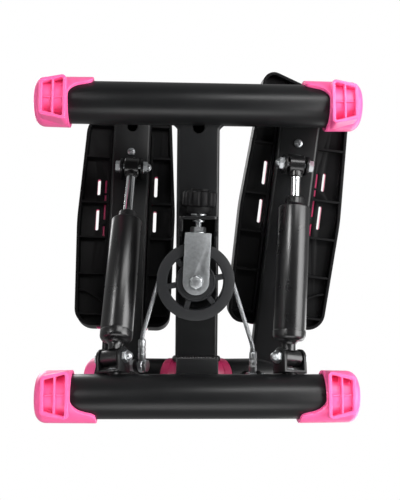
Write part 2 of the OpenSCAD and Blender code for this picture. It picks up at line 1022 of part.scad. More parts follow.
// Wire rope: round the front of the pulley and back to a pressed eye on each lug
module steel_cable() {
    last = len(rope_path) - 1;
    points = [for (i = [0:last]) each rope_ring(i)];
    skin = [for (i = [0:last - 1], k = [0:rope_sides - 1])
        let (n = (k + 1) % rope_sides)
        let (p = i * rope_sides)
        each [[p + k, p + n, p + rope_sides + n], [p + k, p + rope_sides + n, p + rope_sides + k]]];
    ends = [for (k = [1:rope_sides - 2])
        let (p = last * rope_sides)
        each [[0, k + 1, k], [p, p + k, p + k + 1]]];
    color([0.6, 0.6, 0.62]) {
        on_pulley()
            polyhedron(points, concat(skin, ends));
        for (side = [1, -1])
            rope_end(side);
    }
}

// A frame on an eye's middle with its Z along the ferrule, on the left side
module on_ferrule_line(side) {
    frame_at(eye_at(swing_of(side)), ferrule_way(side), [0, 0, 1])
        children();
}

// A pressed eye with its ferrule
module rope_end(side) {
    on_side(side)
        difference() {
            union() {
                on_hub(swing_of(side))
                    translate([lug_at[0], lug_at[1], 0])
                        rod_z(eye_r, lug_u0 - eye_t, lug_u0);
                on_ferrule_line(side)
                    rod_z(4.5, 0, eye_r + ferrule_l);
            }
            on_ferrule_line(side)
                rod_z(cable_d / 2 + run_gap, rope_start - run_gap, 2 * ferrule_l);
            on_hub(swing_of(side))
                translate([lug_at[0], lug_at[1], 0])
                    rod_z(pin_r, 0, hub_u1);
            rope_end_faces(side);
        }
}

// Keeps the ferrule's root inside the thickness of its eye
module rope_end_faces(side) {
    on_hub(swing_of(side))
        translate([lug_at[0], lug_at[1], 0]) {
            rod_z(eye_r + 2, lug_u0, lug_u0 + 10);
            rod_z(eye_r + 2, lug_u0 - eye_t - 10, lug_u0 - eye_t);
        }
}

base_tube(front_y, base_w);  // front_base_tube
base_tube(rear_y, rear_w);  // rear_base_tube
spine_beam();
hub_block();
stub_axle(1);  // left_stub_axle
stub_axle(-1);  // right_stub_axle
axle_retainers();
end_cap(1, front_y, base_w, -1);  // front_left_end_cap
end_cap(-1, front_y, base_w, -1);  // front_right_end_cap
end_cap(1, rear_y, rear_w, 1);  // rear_left_end_cap
end_cap(-1, rear_y, rear_w, 1);  // rear_right_end_cap
knob_bracket();
cylinder_bracket(1);  // left_cylinder_bracket
cylinder_bracket(-1);  // right_cylinder_bracket
bracket_bolts();
lower_pins();
arm_tube(1);  // left_arm_tube
arm_plug(1);  // left_arm_plug
arm_hub(1);  // left_arm_hub
hub_bushes(1);  // left_hub_bushes
hub_cap(1);  // left_hub_cap
upper_bracket(1);  // left_upper_bracket
upper_pin(1);  // left_upper_pin
cable_lug(1);  // left_cable_lug
cable_bolt(1);  // left_cable_bolt
pedal(1);  // left_pedal
pedal_mat(1);  // left_pedal_mat
pedal_screws(1);  // left_pedal_screws
arm_tube(-1);  // right_arm_tube
arm_plug(-1);  // right_arm_plug
arm_hub(-1);  // right_arm_hub
hub_bushes(-1);  // right_hub_bushes
hub_cap(-1);  // right_hub_cap
upper_bracket(-1);  // right_upper_bracket
upper_pin(-1);  // right_upper_pin
cable_lug(-1);  // right_cable_lug
cable_bolt(-1);  // right_cable_bolt
pedal(-1);  // right_pedal
pedal_mat(-1);  // right_pedal_mat
pedal_screws(-1);  // right_pedal_screws
cylinder_tube(1);  // left_cylinder_tube
cylinder_gland(1);  // left_cylinder_gland
cylinder_tube(-1);  // right_cylinder_tube
cylinder_gland(-1);  // right_cylinder_gland
piston_rod(1);  // left_piston_rod
piston(1);  // left_piston
rod_eye(1);  // left_rod_eye
rod_bush(1);  // left_rod_bush
piston_rod(-1);  // right_piston_rod
piston(-1);  // right_piston
rod_eye(-1);  // right_rod_eye
rod_bush(-1);  // right_rod_bush
pulley_fork();
fork_nut();
pulley_axle();
pulley_wheel();
pulley_bush();
adjust_knob();
adjust_bolt();
steel_cable();
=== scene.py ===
import math

import bmesh
import bpy
from mathutils import Matrix, Vector


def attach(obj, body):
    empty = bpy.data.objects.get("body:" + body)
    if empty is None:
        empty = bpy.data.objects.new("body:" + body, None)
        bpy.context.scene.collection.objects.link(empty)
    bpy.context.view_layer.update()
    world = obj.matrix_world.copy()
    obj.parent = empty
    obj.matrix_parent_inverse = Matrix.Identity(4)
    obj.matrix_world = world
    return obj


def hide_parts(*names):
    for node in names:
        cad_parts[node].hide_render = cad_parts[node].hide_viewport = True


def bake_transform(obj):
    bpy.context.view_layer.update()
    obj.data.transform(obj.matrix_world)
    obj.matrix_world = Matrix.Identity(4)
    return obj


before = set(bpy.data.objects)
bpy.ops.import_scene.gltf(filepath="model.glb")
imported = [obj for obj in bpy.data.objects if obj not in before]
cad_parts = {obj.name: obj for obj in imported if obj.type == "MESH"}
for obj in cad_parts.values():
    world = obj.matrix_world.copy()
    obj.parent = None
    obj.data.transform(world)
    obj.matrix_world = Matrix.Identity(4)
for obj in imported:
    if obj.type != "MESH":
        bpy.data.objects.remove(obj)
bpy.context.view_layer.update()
scene = bpy.context.scene
scene.view_settings.view_transform = "Standard"
print("frame loaded with", len(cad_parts), "nodes")


# Camera: straight up from under the machine, toes at the top of the picture
photoView = {
    "target": (1.8, 19.64, 33.0),  # mm
    "distance": 897.5,
    "toRear": 6.8,  # degrees that the camera stands to the rear of straight below
    "toRight": 2.75,  # degrees that it stands to the user's right
    "roll": -0.15,
    "lens": 55.9, "sensor": 36.0,
    "clip": (0.01, 20.0),  # metres
}


def lookFrom(place, target, upHint):
    back = (place - target).normalized()
    right = upHint.cross(back).normalized()
    return Matrix.Translation(place) @ Matrix((right, back.cross(right), back)).transposed().to_4x4()


def makeCamera():
    target = Vector(photoView["target"]) / 1000
    rear, right = math.radians(photoView["toRear"]), math.radians(photoView["toRight"])
    away = Vector((-math.sin(right), math.sin(rear), -math.cos(rear) * math.cos(right)))
    place = target + away.normalized() * photoView["distance"] / 1000
    roll = math.radians(photoView["roll"])
    data = bpy.data.cameras.new("photoCamera")
    data.lens, data.sensor_width = photoView["lens"], photoView["sensor"]
    data.clip_start, data.clip_end = photoView["clip"]
    eye = bpy.data.objects.new("photoCamera", data)
    eye.matrix_world = lookFrom(place, target, Vector((math.sin(roll), -math.cos(roll), 0)))
    scene.collection.objects.link(eye)
    scene.camera = eye


makeCamera()
print("camera set")


def linearColour(code):
    channels = [int(code[i:i + 2], 16) / 255 for i in (1, 3, 5)]
    return [c / 12.92 if c <= 0.04045 else ((c + 0.055) / 1.055) ** 2.4 for c in channels] + [1.0]


def put(tree, kind, inputs=None, **settings):
    node = tree.nodes.new(kind)
    for key, value in settings.items():
        setattr(node, key, value)
    for key, value in (inputs or {}).items():
        if isinstance(value, bpy.types.NodeSocket):
            tree.links.new(value, node.inputs[key])
        else:
            node.inputs[key].default_value = value
    return node


def startMaterial(name):
    material = bpy.data.materials.new(name)
    material.use_nodes = True
    material.node_tree.nodes.clear()
    return material, material.node_tree


def perMetre(millimetres):
    return 1000 / millimetres


# Studio: a pale floor that is seen only from above, soft lamps above and below, a white surround
studio = {
    "floorHalf": 2.0, "floorDrop": 0.001,  # metres
    "fadeStart": 0.3, "fadeEnd": 0.95,  # metres from the middle
    "floorColour": "#F4F4F4",
    "fill": 0.42,  # the surround as a light
    "behindCamera": 0.02,  # the far end of the room, as it shows in reflections
    "surround": 0.35,  # the rest of the room in reflections
    "darkTo": -0.62, "lightFrom": -0.12,  # heights in the room, where -1 is straight down
    "lampUp": (0.01, 1, 0.02),
    "lamps": [  # name, place, target, size, watts, spread in degrees
        ("lowerRightStrip", (-1.05, 0.05, -0.72), (0, 0, 0.05), (0.22, 1.2), 1.5, 180),
        ("lowerLeftStrip", (1.0, 0.05, -0.78), (0, 0, 0.05), (0.55, 1.2), 17.0, 180),
        ("lowerLeftSide", (1.25, 0.05, -0.38), (0, 0, 0.05), (0.4, 1.2), 9.0, 180),
        ("lowerRightBeam", (-0.72, -0.36, -0.96), (0.115, 0.05, 0.08), (0.35, 0.9), 0.4, 18),
        ("lowerFrontBox", (0.55, -0.75, -1.05), (0, 0, 0.05), (0.9, 0.34), 8.5, 180),
        ("lowerRearBox", (0.0, 1.1, -0.75), (0, 0, 0.05), (1.4, 0.5), 8.0, 180),
        ("upperKey", (-1.1, -1.0, 1.7), (0, 0, 0.1), (1.2, 1.2), 32.0, 180),
        ("upperFill", (1.3, 0.9, 1.4), (0, 0, 0.1), (1.4, 1.4), 18.0, 180),
    ],
}


def makeRoom():
    world = bpy.data.worlds.new("studio")
    scene.world = world
    world.use_nodes = True
    tree = world.node_tree
    tree.nodes.clear()
    path = put(tree, "ShaderNodeLightPath")
    shown = put(tree, "ShaderNodeMath", {
        0: path.outputs["Is Camera Ray"], 1: path.outputs["Is Transmission Ray"]}, operation="MAXIMUM")
    coord = put(tree, "ShaderNodeTexCoord")
    split = put(tree, "ShaderNodeSeparateXYZ", {0: coord.outputs["Generated"]})
    # the part of the room where the camera stands is dark, so that black paint stays black
    room = put(tree, "ShaderNodeMapRange", {
        "Value": split.outputs["Z"], "From Min": studio["darkTo"], "From Max": studio["lightFrom"],
        "To Min": studio["behindCamera"], "To Max": studio["surround"]}, interpolation_type="SMOOTHSTEP")
    seen = put(tree, "ShaderNodeMix", {
        "Factor": path.outputs["Is Glossy Ray"], 2: studio["fill"], 3: room.outputs[0]})
    level = put(tree, "ShaderNodeMix", {"Factor": shown.outputs[0], 2: seen.outputs[0], 3: 1.0})
    light = put(tree, "ShaderNodeBackground", {"Color": (1, 1, 1, 1), "Strength": level.outputs[0]})
    put(tree, "ShaderNodeOutputWorld", {"Surface": light.outputs[0]})


def makeLamps():
    for name, place, target, size, watts, spread in studio["lamps"]:
        data = bpy.data.lights.new(name, "AREA")
        data.shape = "RECTANGLE"
        data.size, data.size_y = size
        data.energy = watts
        data.spread = math.radians(spread)
        lamp = bpy.data.objects.new(name, data)
        lamp.matrix_world = lookFrom(Vector(place), Vector(target), Vector(studio["lampUp"]))
        scene.collection.objects.link(lamp)


# The floor shows to the camera alone, from above, with the machine's shadow; other light passes through
def makeFloor():
    material, tree = startMaterial("paleFloor")
    path = put(tree, "ShaderNodeLightPath")
    hidden = put(tree, "ShaderNodeNewGeometry").outputs["Backfacing"]
    for ray in ("Is Shadow Ray", "Is Diffuse Ray", "Is Glossy Ray"):
        either = put(tree, "ShaderNodeMath", {0: hidden, 1: path.outputs[ray]}, operation="MAXIMUM")
        hidden = either.outputs[0]
    # away from the machine the floor fades into the white, so that no horizon is seen
    coord = put(tree, "ShaderNodeTexCoord")
    away = put(tree, "ShaderNodeVectorMath", {0: coord.outputs["Object"]}, operation="LENGTH")
    fade = put(tree, "ShaderNodeMapRange", {
        "Value": away.outputs["Value"], "From Min": studio["fadeStart"], "From Max": studio["fadeEnd"]},
        interpolation_type="SMOOTHSTEP")
    unseen = put(tree, "ShaderNodeMath", {0: hidden, 1: fade.outputs[0]}, operation="MAXIMUM")
    matt = put(tree, "ShaderNodeBsdfDiffuse", {"Color": linearColour(studio["floorColour"])})
    clear = put(tree, "ShaderNodeBsdfTransparent")
    mix = put(tree, "ShaderNodeMixShader", {0: unseen.outputs[0], 1: matt.outputs[0], 2: clear.outputs[0]})
    put(tree, "ShaderNodeOutputMaterial", {"Surface": mix.outputs[0]})
    half, drop = studio["floorHalf"], studio["floorDrop"]
    corners = [(x * half, y * half, -drop) for x, y in ((-1, -1), (1, -1), (1, 1), (-1, 1))]
    mesh = bpy.data.meshes.new("floor")
    mesh.from_pydata(corners, [], [(0, 1, 2, 3)])
    mesh.materials.append(material)
    floor = bpy.data.objects.new("floor", mesh)
    scene.collection.objects.link(floor)


makeRoom()
makeLamps()
makeFloor()
print("studio lit")


# What the moulded blacks have in common, and what the moulded pinks have
mouldedGrain = {
    "noise": {"grain": (1.1, 3.0, 0.5), "cloud": (30.0, 3.0, 0.5)},
    "rough": ("grain", 0.40, 0.58), "bump": ("grain", 0.16, 0.3),
}
mouldedSatin = {
    "noise": {"grain": (1.3, 2.0, 0.5), "flow": (24.0, 2.0, 0.5)},
    "rough": ("flow", 0.32, 0.42), "bump": ("grain", 0.06, 0.3),
    "shader": {"IOR": 1.49, "Subsurface Weight": 0.06, "Subsurface Scale": 0.5,
               "Subsurface Radius": (0.004, 0.0012, 0.0016)},
}

# Finishes. A noise has its size in mm, detail and roughness, and cells have their size in mm.
# Tone, rough and bump each name the pattern that drives them; a bump's last number is its height in mm
finishes = {
    # Black polyester powder coat on steel, sprayed and baked: a satin skin with a fine orange peel.
    # The peel is about 1 mm wide, and it is drawn at 2 mm so that it shows
    "powderCoatBlack": {
        "noise": {"peel": (2.0, 2.0, 0.5), "cloud": (45.0, 3.0, 0.5)},
        "tone": ("cloud", "#0C0C0D", "#131415"), "rough": ("cloud", 0.30, 0.40),
        "bump": ("peel", 0.10, 0.4), "shader": {"IOR": 1.5, "Specular IOR Level": 0.33},
    },
    # Black enamel on drawn steel, dipped and stoved: glossier than powder, with sharp light bands
    "stovedEnamelBlack": {
        "noise": {"flow": (18.0, 2.0, 0.5)},
        "tone": ("flow", "#0B0B0C", "#121213"), "rough": ("flow", 0.25, 0.32),
        "shader": {"IOR": 1.52, "Specular IOR Level": 0.55},
    },
    # Black ABS, moulded: a spark-eroded grain that scatters the light, with paler rubbed spots
    "mouldedBlackPlastic": {
        **mouldedGrain, "tone": ("cloud", "#0A0A0B", "#101011"),
        "shader": {"IOR": 1.52, "Specular IOR Level": 0.12},
    },
    # Dark grey nylon, moulded: the same grain on a paler body that shines more
    "mouldedGreyNylon": {
        **mouldedGrain, "tone": ("cloud", "#111214", "#191A1C"),
        "shader": {"IOR": 1.52, "Specular IOR Level": 0.34},
    },
    # Pink polypropylene, moulded: saturated right through, satin, a little light goes into it
    "mouldedPinkPlastic": {**mouldedSatin, "tone": ("flow", "#F0508F", "#FA6BA6")},
    # Pink plastic painted darker: the same satin skin on a deeper copy of the pink, as painted shade on the
    # hub bushes' collars and the mat tabs
    "mouldedPinkPaintedShade": {**mouldedSatin, "tone": ("flow", "#A8234F", "#B52F5E")},
    # Pink thermoplastic rubber, moulded for the grip mats: matt, soft-looking, with a leathery grain
    "mouldedPinkRubber": {
        "noise": {"cloud": (35.0, 3.0, 0.5)}, "cells": 1.8,
        "tone": ("cloud", "#E8508E", "#F062A0"), "bump": ("cells", 0.25, 0.4),
        "shader": {"Roughness": 0.62, "IOR": 1.5, "Sheen Weight": 0.1},
    },
    # Zinc plate on steel: cool grey metal, cloudy where the passivation took unevenly, finely pitted
    "zincPlatedSteel": {
        "noise": {"cloud": (3.5, 5.0, 0.65), "pits": (1.2, 2.0, 0.5)},
        "tone": ("cloud", "#8F9294", "#C9CCCE"), "rough": ("cloud", 0.28, 0.5),
        "bump": ("pits", 0.12, 0.3), "shader": {"Metallic": 1.0},
    },
    # Hard chrome on ground steel: a near mirror with faint grinding marks
    "hardChromeRod": {
        "noise": {"marks": (1.5, 3.0, 0.5)}, "rough": ("marks", 0.07, 0.16), "bump": ("marks", 0.03, 0.2),
        "shader": {"Base Color": linearColour("#DADCDE"), "Metallic": 1.0},
    },
    # Galvanised wire drawn and laid into a rope: dull silver in cloudy patches
    "galvanisedWire": {
        "noise": {"cloud": (3.0, 4.0, 0.5)},
        "tone": ("cloud", "#8C8E90", "#BFC1C3"), "rough": ("cloud", 0.35, 0.55),
        "shader": {"Metallic": 1.0},
    },
    # Black nitrile rubber, moulded: matt, with a dry bloom
    "blackRubber": {
        "noise": {"bloom": (5.0, 4.0, 0.5)}, "rough": ("bloom", 0.6, 0.85), "bump": ("bloom", 0.15, 0.3),
        "shader": {"Base Color": linearColour("#161616")},
    },
    # Sintered bronze, pressed from powder and oiled: brown gold, full of tiny pores
    "sinteredBronze": {
        "noise": {"pores": (0.9, 3.0, 0.5)},
        "tone": ("pores", "#8C6A3C", "#B08A55"), "bump": ("pores", 0.2, 0.3),
        "shader": {"Metallic": 1.0, "Roughness": 0.45},
    },
}


def makeFinish(name, look):
    material, tree = startMaterial(name)
    coord = put(tree, "ShaderNodeTexCoord").outputs["Object"]
    patterns, inputs = {}, dict(look["shader"])
    for key, (size, detail, roughness) in look["noise"].items():
        noise = put(tree, "ShaderNodeTexNoise", {
            "Vector": coord, "Scale": perMetre(size), "Detail": detail, "Roughness": roughness})
        patterns[key] = noise.outputs["Fac"]
    if "cells" in look:
        patterns["cells"] = put(tree, "ShaderNodeTexVoronoi", {
            "Vector": coord, "Scale": perMetre(look["cells"])}).outputs["Distance"]
    if "tone" in look:
        key, dark, light = look["tone"]
        tone = put(tree, "ShaderNodeMix", {
            "Factor": patterns[key], 6: linearColour(dark), 7: linearColour(light)}, data_type="RGBA")
        inputs["Base Color"] = tone.outputs[2]
    if "rough" in look:
        key, low, high = look["rough"]
        inputs["Roughness"] = put(tree, "ShaderNodeMapRange", {
            "Value": patterns[key], "To Min": low, "To Max": high}).outputs[0]
    if "bump" in look:
        key, strength, height = look["bump"]
        inputs["Normal"] = put(tree, "ShaderNodeBump", {
            "Strength": strength, "Distance": height / 1000, "Height": patterns[key]}).outputs[0]
    shader = put(tree, "ShaderNodeBsdfPrincipled", inputs)
    put(tree, "ShaderNodeOutputMaterial", {"Surface": shader.outputs[0]})
    return material


made = {name: makeFinish(name, look) for name, look in finishes.items()}
enamel, mouldedGrey = made["stovedEnamelBlack"], made["mouldedGreyNylon"]
# the deeper pink is painted shade, for the bush collars and the recessed mat tabs
paintedShadePink, wireRope = made["mouldedPinkPaintedShade"], made["galvanisedWire"]
slotFinish = {
    "black_steel": made["powderCoatBlack"], "black_plastic": made["mouldedBlackPlastic"],
    "pink_plastic": made["mouldedPinkPlastic"], "pink_mat": made["mouldedPinkRubber"],
    "chrome_rod": made["hardChromeRod"], "zinc_steel": made["zincPlatedSteel"],
    "black_rubber": made["blackRubber"], "bronze_bush": made["sinteredBronze"], "wire_rope": wireRope,
}
print("materials made")


# The machine's own places, in mm and degrees: X across, Y to the rear, Z up
machine = {
    "hubTilt": 26.4, "hubY": 169.38, "hubZ": 86.6, "frontY": -153.62, "rearY": 186.38,
    "armU": 103.0, "armSplay": 2.4, "armSlope": -1.1, "restSwing": 9.0,
    "spineSlope": 9.0, "spineZ": 60.0, "pulleyY": 52.38, "pulleyDrop": 20.5,
    "webY": -73.75, "forkYaw": 2.4,
    "lowerPinX": {1: 104.3, -1: 95.5}, "lowerPinY": 143.38, "lowerPinZ": 40.0,
    "upperPin": (-2.5, -267.5, -32.3), "tubeZ": 33.0, "tubeR": 25.0,
    "capEnd": {"front": 192.0, "rear": 182.0},
}
tilt = math.radians(machine["hubTilt"])
hubPoint = Vector((0, machine["hubY"], machine["hubZ"]))
hubAxis = Vector((math.cos(tilt), 0, math.sin(tilt)))
sideName = {1: "left", -1: "right"}


def turn(degrees, axis):
    return Matrix.Rotation(math.radians(degrees), 4, axis)


def move(x, y, z):
    return Matrix.Translation((x, y, z))


def aimFrame(origin, zWay, xHint):
    z = zWay.normalized()
    x = (xHint - xHint.dot(z) * z).normalized()
    return Matrix.Translation(origin) @ Matrix((x, z.cross(x), z)).transposed().to_4x4()


def onSide(side):
    return Matrix.Scale(-1, 4, (1, 0, 0)) if side < 0 else Matrix.Identity(4)


def swingOf(side):
    return machine["restSwing"] if side < 0 else -machine["restSwing"]


def leftSwing(degrees):
    return Matrix.Translation(hubPoint) @ turn(degrees, -hubAxis) @ Matrix.Translation(-hubPoint)


levelArm = (Matrix.Translation(hubPoint + machine["armU"] * hubAxis) @ turn(machine["armSplay"], "Z")
            @ turn(-machine["armSlope"], "X"))


def armFrame(side):
    return onSide(side) @ leftSwing(swingOf(side)) @ levelArm


def hubFrame(side, degrees=0.0):
    return onSide(side) @ aimFrame(hubPoint, hubAxis, Vector((0, 1, 0))) @ turn(-degrees, "Z")


def upperPinAt(degrees):
    return leftSwing(degrees) @ levelArm @ Vector(machine["upperPin"])


# The lower pin's place on the left, or the right one's place turned over to the left
def lowerPinAt(side):
    return Vector((machine["lowerPinX"][side], machine["lowerPinY"], machine["lowerPinZ"]))


def wayUp(side, degrees):
    return (upperPinAt(degrees) - lowerPinAt(side)).normalized()


def lowerAxis(side):
    return (-hubAxis).cross(upperPinAt(0) - hubPoint).cross(wayUp(side, 0)).normalized()


spineFrame = move(0, machine["pulleyY"], machine["spineZ"]) @ turn(machine["spineSlope"], "X")
pulleyFrame = (spineFrame @ move(0, machine["webY"], -machine["pulleyDrop"]) @ turn(machine["forkYaw"], "Z")
               @ move(0, -machine["webY"], 0))


def cylinderFrame(side):
    return onSide(side) @ aimFrame(lowerPinAt(side), wayUp(side, swingOf(side)), lowerAxis(side))


def bracketFrame(side):
    pin, x = lowerPinAt(side), lowerAxis(side)
    toTube = Vector((0, machine["rearY"] - pin.y, machine["tubeZ"] - pin.z))
    return onSide(side) @ aimFrame(pin, toTube - toTube.dot(x) * x, x)


def rodEyeFrame(side):
    across = (leftSwing(swingOf(side)) @ turn(machine["armSplay"], "Z")).to_3x3() @ Vector((1, 0, 0))
    return onSide(side) @ aimFrame(upperPinAt(swingOf(side)), wayUp(side, swingOf(side)), across)


# Mesh building: parts are added to one bmesh in mm, then made a piece in metres
edges = {"bevelFrom": 34.0, "sharpFrom": 32.0, "roundSharp": 60.0, "flatTo": 0.5,  # degrees
         "merge": 0.002, "block": 2.0, "fork": 0.9, "plate": 0.8, "fine": 0.4}  # mm
# How many flat sides make a round
facets = {"rim": 144, "tube": 128, "large": 96, "plain": 64, "bolt": 48, "washer": 40, "thread": 32}


def settle(bm, faces, matrix):
    bmesh.ops.recalc_face_normals(bm, faces=faces)
    verts = {v for f in faces for v in f.verts}
    bmesh.ops.transform(bm, matrix=matrix, verts=list(verts))
    if matrix.determinant() < 0:
        bmesh.ops.reverse_faces(bm, faces=faces)


def addLoft(bm, rings, matrix=Matrix.Identity(4), looped=False):
    grid = [[bm.verts.new(p) for p in ring] for ring in rings]
    count = len(grid[0])
    faces = []
    for low, high in zip(grid, grid[1:] + (grid[:1] if looped else [])):
        for k in range(count):
            n = (k + 1) % count
            faces.append(bm.faces.new((low[k], low[n], high[n], high[k])))
    if not looped:
        faces.append(bm.faces.new(list(reversed(grid[0]))))
        faces.append(bm.faces.new(grid[-1]))
    settle(bm, faces, matrix)


def addLathe(bm, profile, matrix, steps=facets["plain"], looped=False):
    rings = [[Vector((r * math.cos(math.tau * k / steps), r * math.sin(math.tau * k / steps), z))
              for k in range(steps)] for r, z in profile]
    addLoft(bm, rings, matrix, looped)


def addPlate(bm, outline, low, high, matrix=Matrix.Identity(4)):
    addLoft(bm, [[Vector((x, y, z)) for x, y in outline] for z in (low, high)], matrix)


# New meshes that start with one loft or one lathe
def lofted(rings, matrix=Matrix.Identity(4), looped=False):
    bm = bmesh.new()
    addLoft(bm, rings, matrix, looped)
    return bm


def turned(profile, matrix, steps=facets["plain"], looped=False):
    bm = bmesh.new()
    addLathe(bm, profile, matrix, steps, looped)
    return bm


def roundedRectangle(halfX, halfY, radius, steps=6):
    points = []
    for cx, cy, start in ((1, 1, 0), (-1, 1, 90), (-1, -1, 180), (1, -1, 270)):
        for k in range(steps + 1):
            a = math.radians(start + 90 * k / steps)
            points.append((cx * (halfX - radius) + radius * math.cos(a),
                           cy * (halfY - radius) + radius * math.sin(a)))
    return points


def addRounded(bm, middle, half, radius, steps, low, high, matrix):
    outline = [(middle[0] + x, middle[1] + y) for x, y in roundedRectangle(*half, radius, steps)]
    addPlate(bm, outline, low, high, matrix)


def arcProfile(cx, cz, radius, start, end, steps):
    angles = [math.radians(start + (end - start) * k / steps) for k in range(steps + 1)]
    return [(cx + radius * math.cos(a), cz + radius * math.sin(a)) for a in angles]


# Section of a ring or a collar with its outer edges broken
def ringProfile(bore, radius, low, high, edge):
    return [(bore, low), (radius - edge, low), (radius, low + edge), (radius, high - edge),
            (radius - edge, high), (bore, high)]


# Section of a plain bar; a small disc closes each end
def barProfile(radius, low, high):
    return [(1, low), (radius, low), (radius, high), (1, high)]


def meshFrom(bm, name):
    bmesh.ops.scale(bm, vec=(0.001, 0.001, 0.001), verts=bm.verts)
    mesh = bpy.data.meshes.new(name)
    bm.to_mesh(mesh)
    bm.free()
    return mesh


def addObject(name, mesh):
    piece = bpy.data.objects.new(name, mesh)
    scene.collection.objects.link(piece)
    return piece


def takeEvaluated(piece):
    evaluated = piece.evaluated_get(bpy.context.evaluated_depsgraph_get())
    mesh = bpy.data.meshes.new_from_object(evaluated)
    piece.modifiers.clear()
    piece.data = mesh


def bevelEdges(piece, width, segments):
    bevel = piece.modifiers.new("edges", "BEVEL")
    bevel.width = width / 1000
    bevel.segments = segments
    bevel.limit_method = "ANGLE"
    bevel.angle_limit = math.radians(edges["bevelFrom"])
    bevel.miter_outer = "MITER_ARC"


def shade(mesh, sharp):
    mesh.polygons.foreach_set("use_smooth", [True] * len(mesh.polygons))
    mesh.set_sharp_from_angle(angle=math.radians(sharp))


def dress(piece, material, body, replaced, sharp=edges["sharpFrom"]):
    piece.data.materials.clear()
    piece.data.materials.append(material)
    shade(piece.data, sharp)
    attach(piece, body)
    if replaced:
        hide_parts(*replaced)


def makePiece(name, bm, body, slot, replaced=(), bevel=0.0, segments=2, cutter=None,
              sharp=edges["sharpFrom"], material=None):
    piece = addObject(name, meshFrom(bm, name))
    tool = None
    if cutter is not None:
        tool = addObject("cutter", meshFrom(cutter, "cutter"))
        cut = piece.modifiers.new("cut", "BOOLEAN")
        cut.object = tool
        cut.solver = "EXACT"
    if bevel:
        bevelEdges(piece, bevel, segments)
    if piece.modifiers:
        takeEvaluated(piece)
    if tool:
        bpy.data.objects.remove(tool)
    dress(piece, material or slotFinish[slot], body, replaced, sharp)


# A copy of a CAD node with its edges broken, as a press, a saw or a mould leaves them
def softenNode(node, body, slot, width, segments=2):
    bm = bmesh.new()
    bm.from_mesh(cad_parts[node].data)
    bmesh.ops.remove_doubles(bm, verts=bm.verts, dist=edges["merge"] / 1000)
    bmesh.ops.dissolve_limit(bm, angle_limit=math.radians(edges["flatTo"]), verts=bm.verts, edges=bm.edges)
    mesh = bpy.data.meshes.new(node)
    bm.to_mesh(mesh)
    bm.free()
    piece = addObject(node + "_softened", mesh)
    bevelEdges(piece, width, segments)
    takeEvaluated(piece)
    dress(piece, slotFinish[slot], body, (node,))


# Base: two round tubes and the spine between them
base = {
    "tubeShort": 8.0,  # the tube stops this far inside the cap's outer face
    "tubeWall": 2.0, "tubeEdge": 0.5,
    "spineHalf": 25.0, "spineTall": 30.0, "spineWall": 2.0, "spineRound": 4.0, "innerRound": 1.5,
    "flare": [(0, 6.0), (2.1, 3.3), (4.2, 1.08), (6.0, 0.0), (None, 0.0)],  # mm past the front seam, mm wider
    "sink": 0.6,  # the spine goes this far into the front tube
    "hubFace": 24.4,  # from the hub axis forward to where the spine ends
    "frontSearch": (-120.0, -205.0), "rearSearch": (60.0, 110.0), "halvings": 40,
    "drainY": -180.0, "drainR": 7.0, "drainCut": (-6.0, 8.0),
}


def makeBaseTubes():
    r = machine["tubeR"]
    bore = r - base["tubeWall"]
    for end in ("front", "rear"):
        half = machine["capEnd"][end] - base["tubeShort"]
        place = move(0, machine[end + "Y"], machine["tubeZ"]) @ turn(90, "Y")
        bm = turned([(r, -half), (r, half), (bore, half), (bore, -half)], place, facets["tube"], True)
        makePiece(end + "BaseTube", bm, "frame", "black_steel", (end + "_base_tube",), bevel=base["tubeEdge"])


# The Y at which a line along a section's frame goes into what it is welded to
def enters(frameAt, x, z, search, isInside):
    outside, inside = search
    for _ in range(base["halvings"]):
        middle = (outside + inside) / 2
        if isInside(frameAt @ Vector((x, middle, z))):
            inside = middle
        else:
            outside = middle
    return inside


def inFrontTube(p):
    reach = math.hypot(p.y - machine["frontY"], p.z - machine["tubeZ"])
    return reach < machine["tubeR"] - base["sink"]


def inHubBlock(p):
    return p.y > machine["hubY"] - base["hubFace"]


# One ring of the spine: at a distance past its front seam, or at the hub block where that is None
def spineRing(shrink, pastFront=None, flare=0.0):
    half, middle = base["spineHalf"] - shrink, base["spineTall"] / 2
    ring = []
    for x, z in roundedRectangle(half, middle - shrink, max(base["spineRound"] - shrink, base["innerRound"])):
        z += middle
        if pastFront is None:
            y = enters(spineFrame, x, z, base["rearSearch"], inHubBlock)
        else:
            y = enters(spineFrame, x, z, base["frontSearch"], inFrontTube) + pastFront
        ring.append(spineFrame @ Vector((x * (1 + flare / half), y, z)))
    return ring


def makeSpine():
    outer = [spineRing(0, *station) for station in base["flare"]]
    inner = [spineRing(base["spineWall"], *station) for station in reversed(base["flare"])]
    drain = turned([(base["drainR"], z) for z in base["drainCut"]], spineFrame @ move(0, base["drainY"], 0))
    makePiece("spineBeam", lofted(outer + inner, looped=True), "frame", "black_steel", ("spine_beam",),
              cutter=drain)


makeBaseTubes()
makeSpine()
softenNode("hub_block", "frame", "black_steel", edges["block"], 3)
softenNode("knob_bracket", "frame", "black_steel", edges["plate"])
for side in (1, -1):
    softenNode(sideName[side] + "_cylinder_bracket", "frame", "black_steel", edges["plate"])
print("base made")


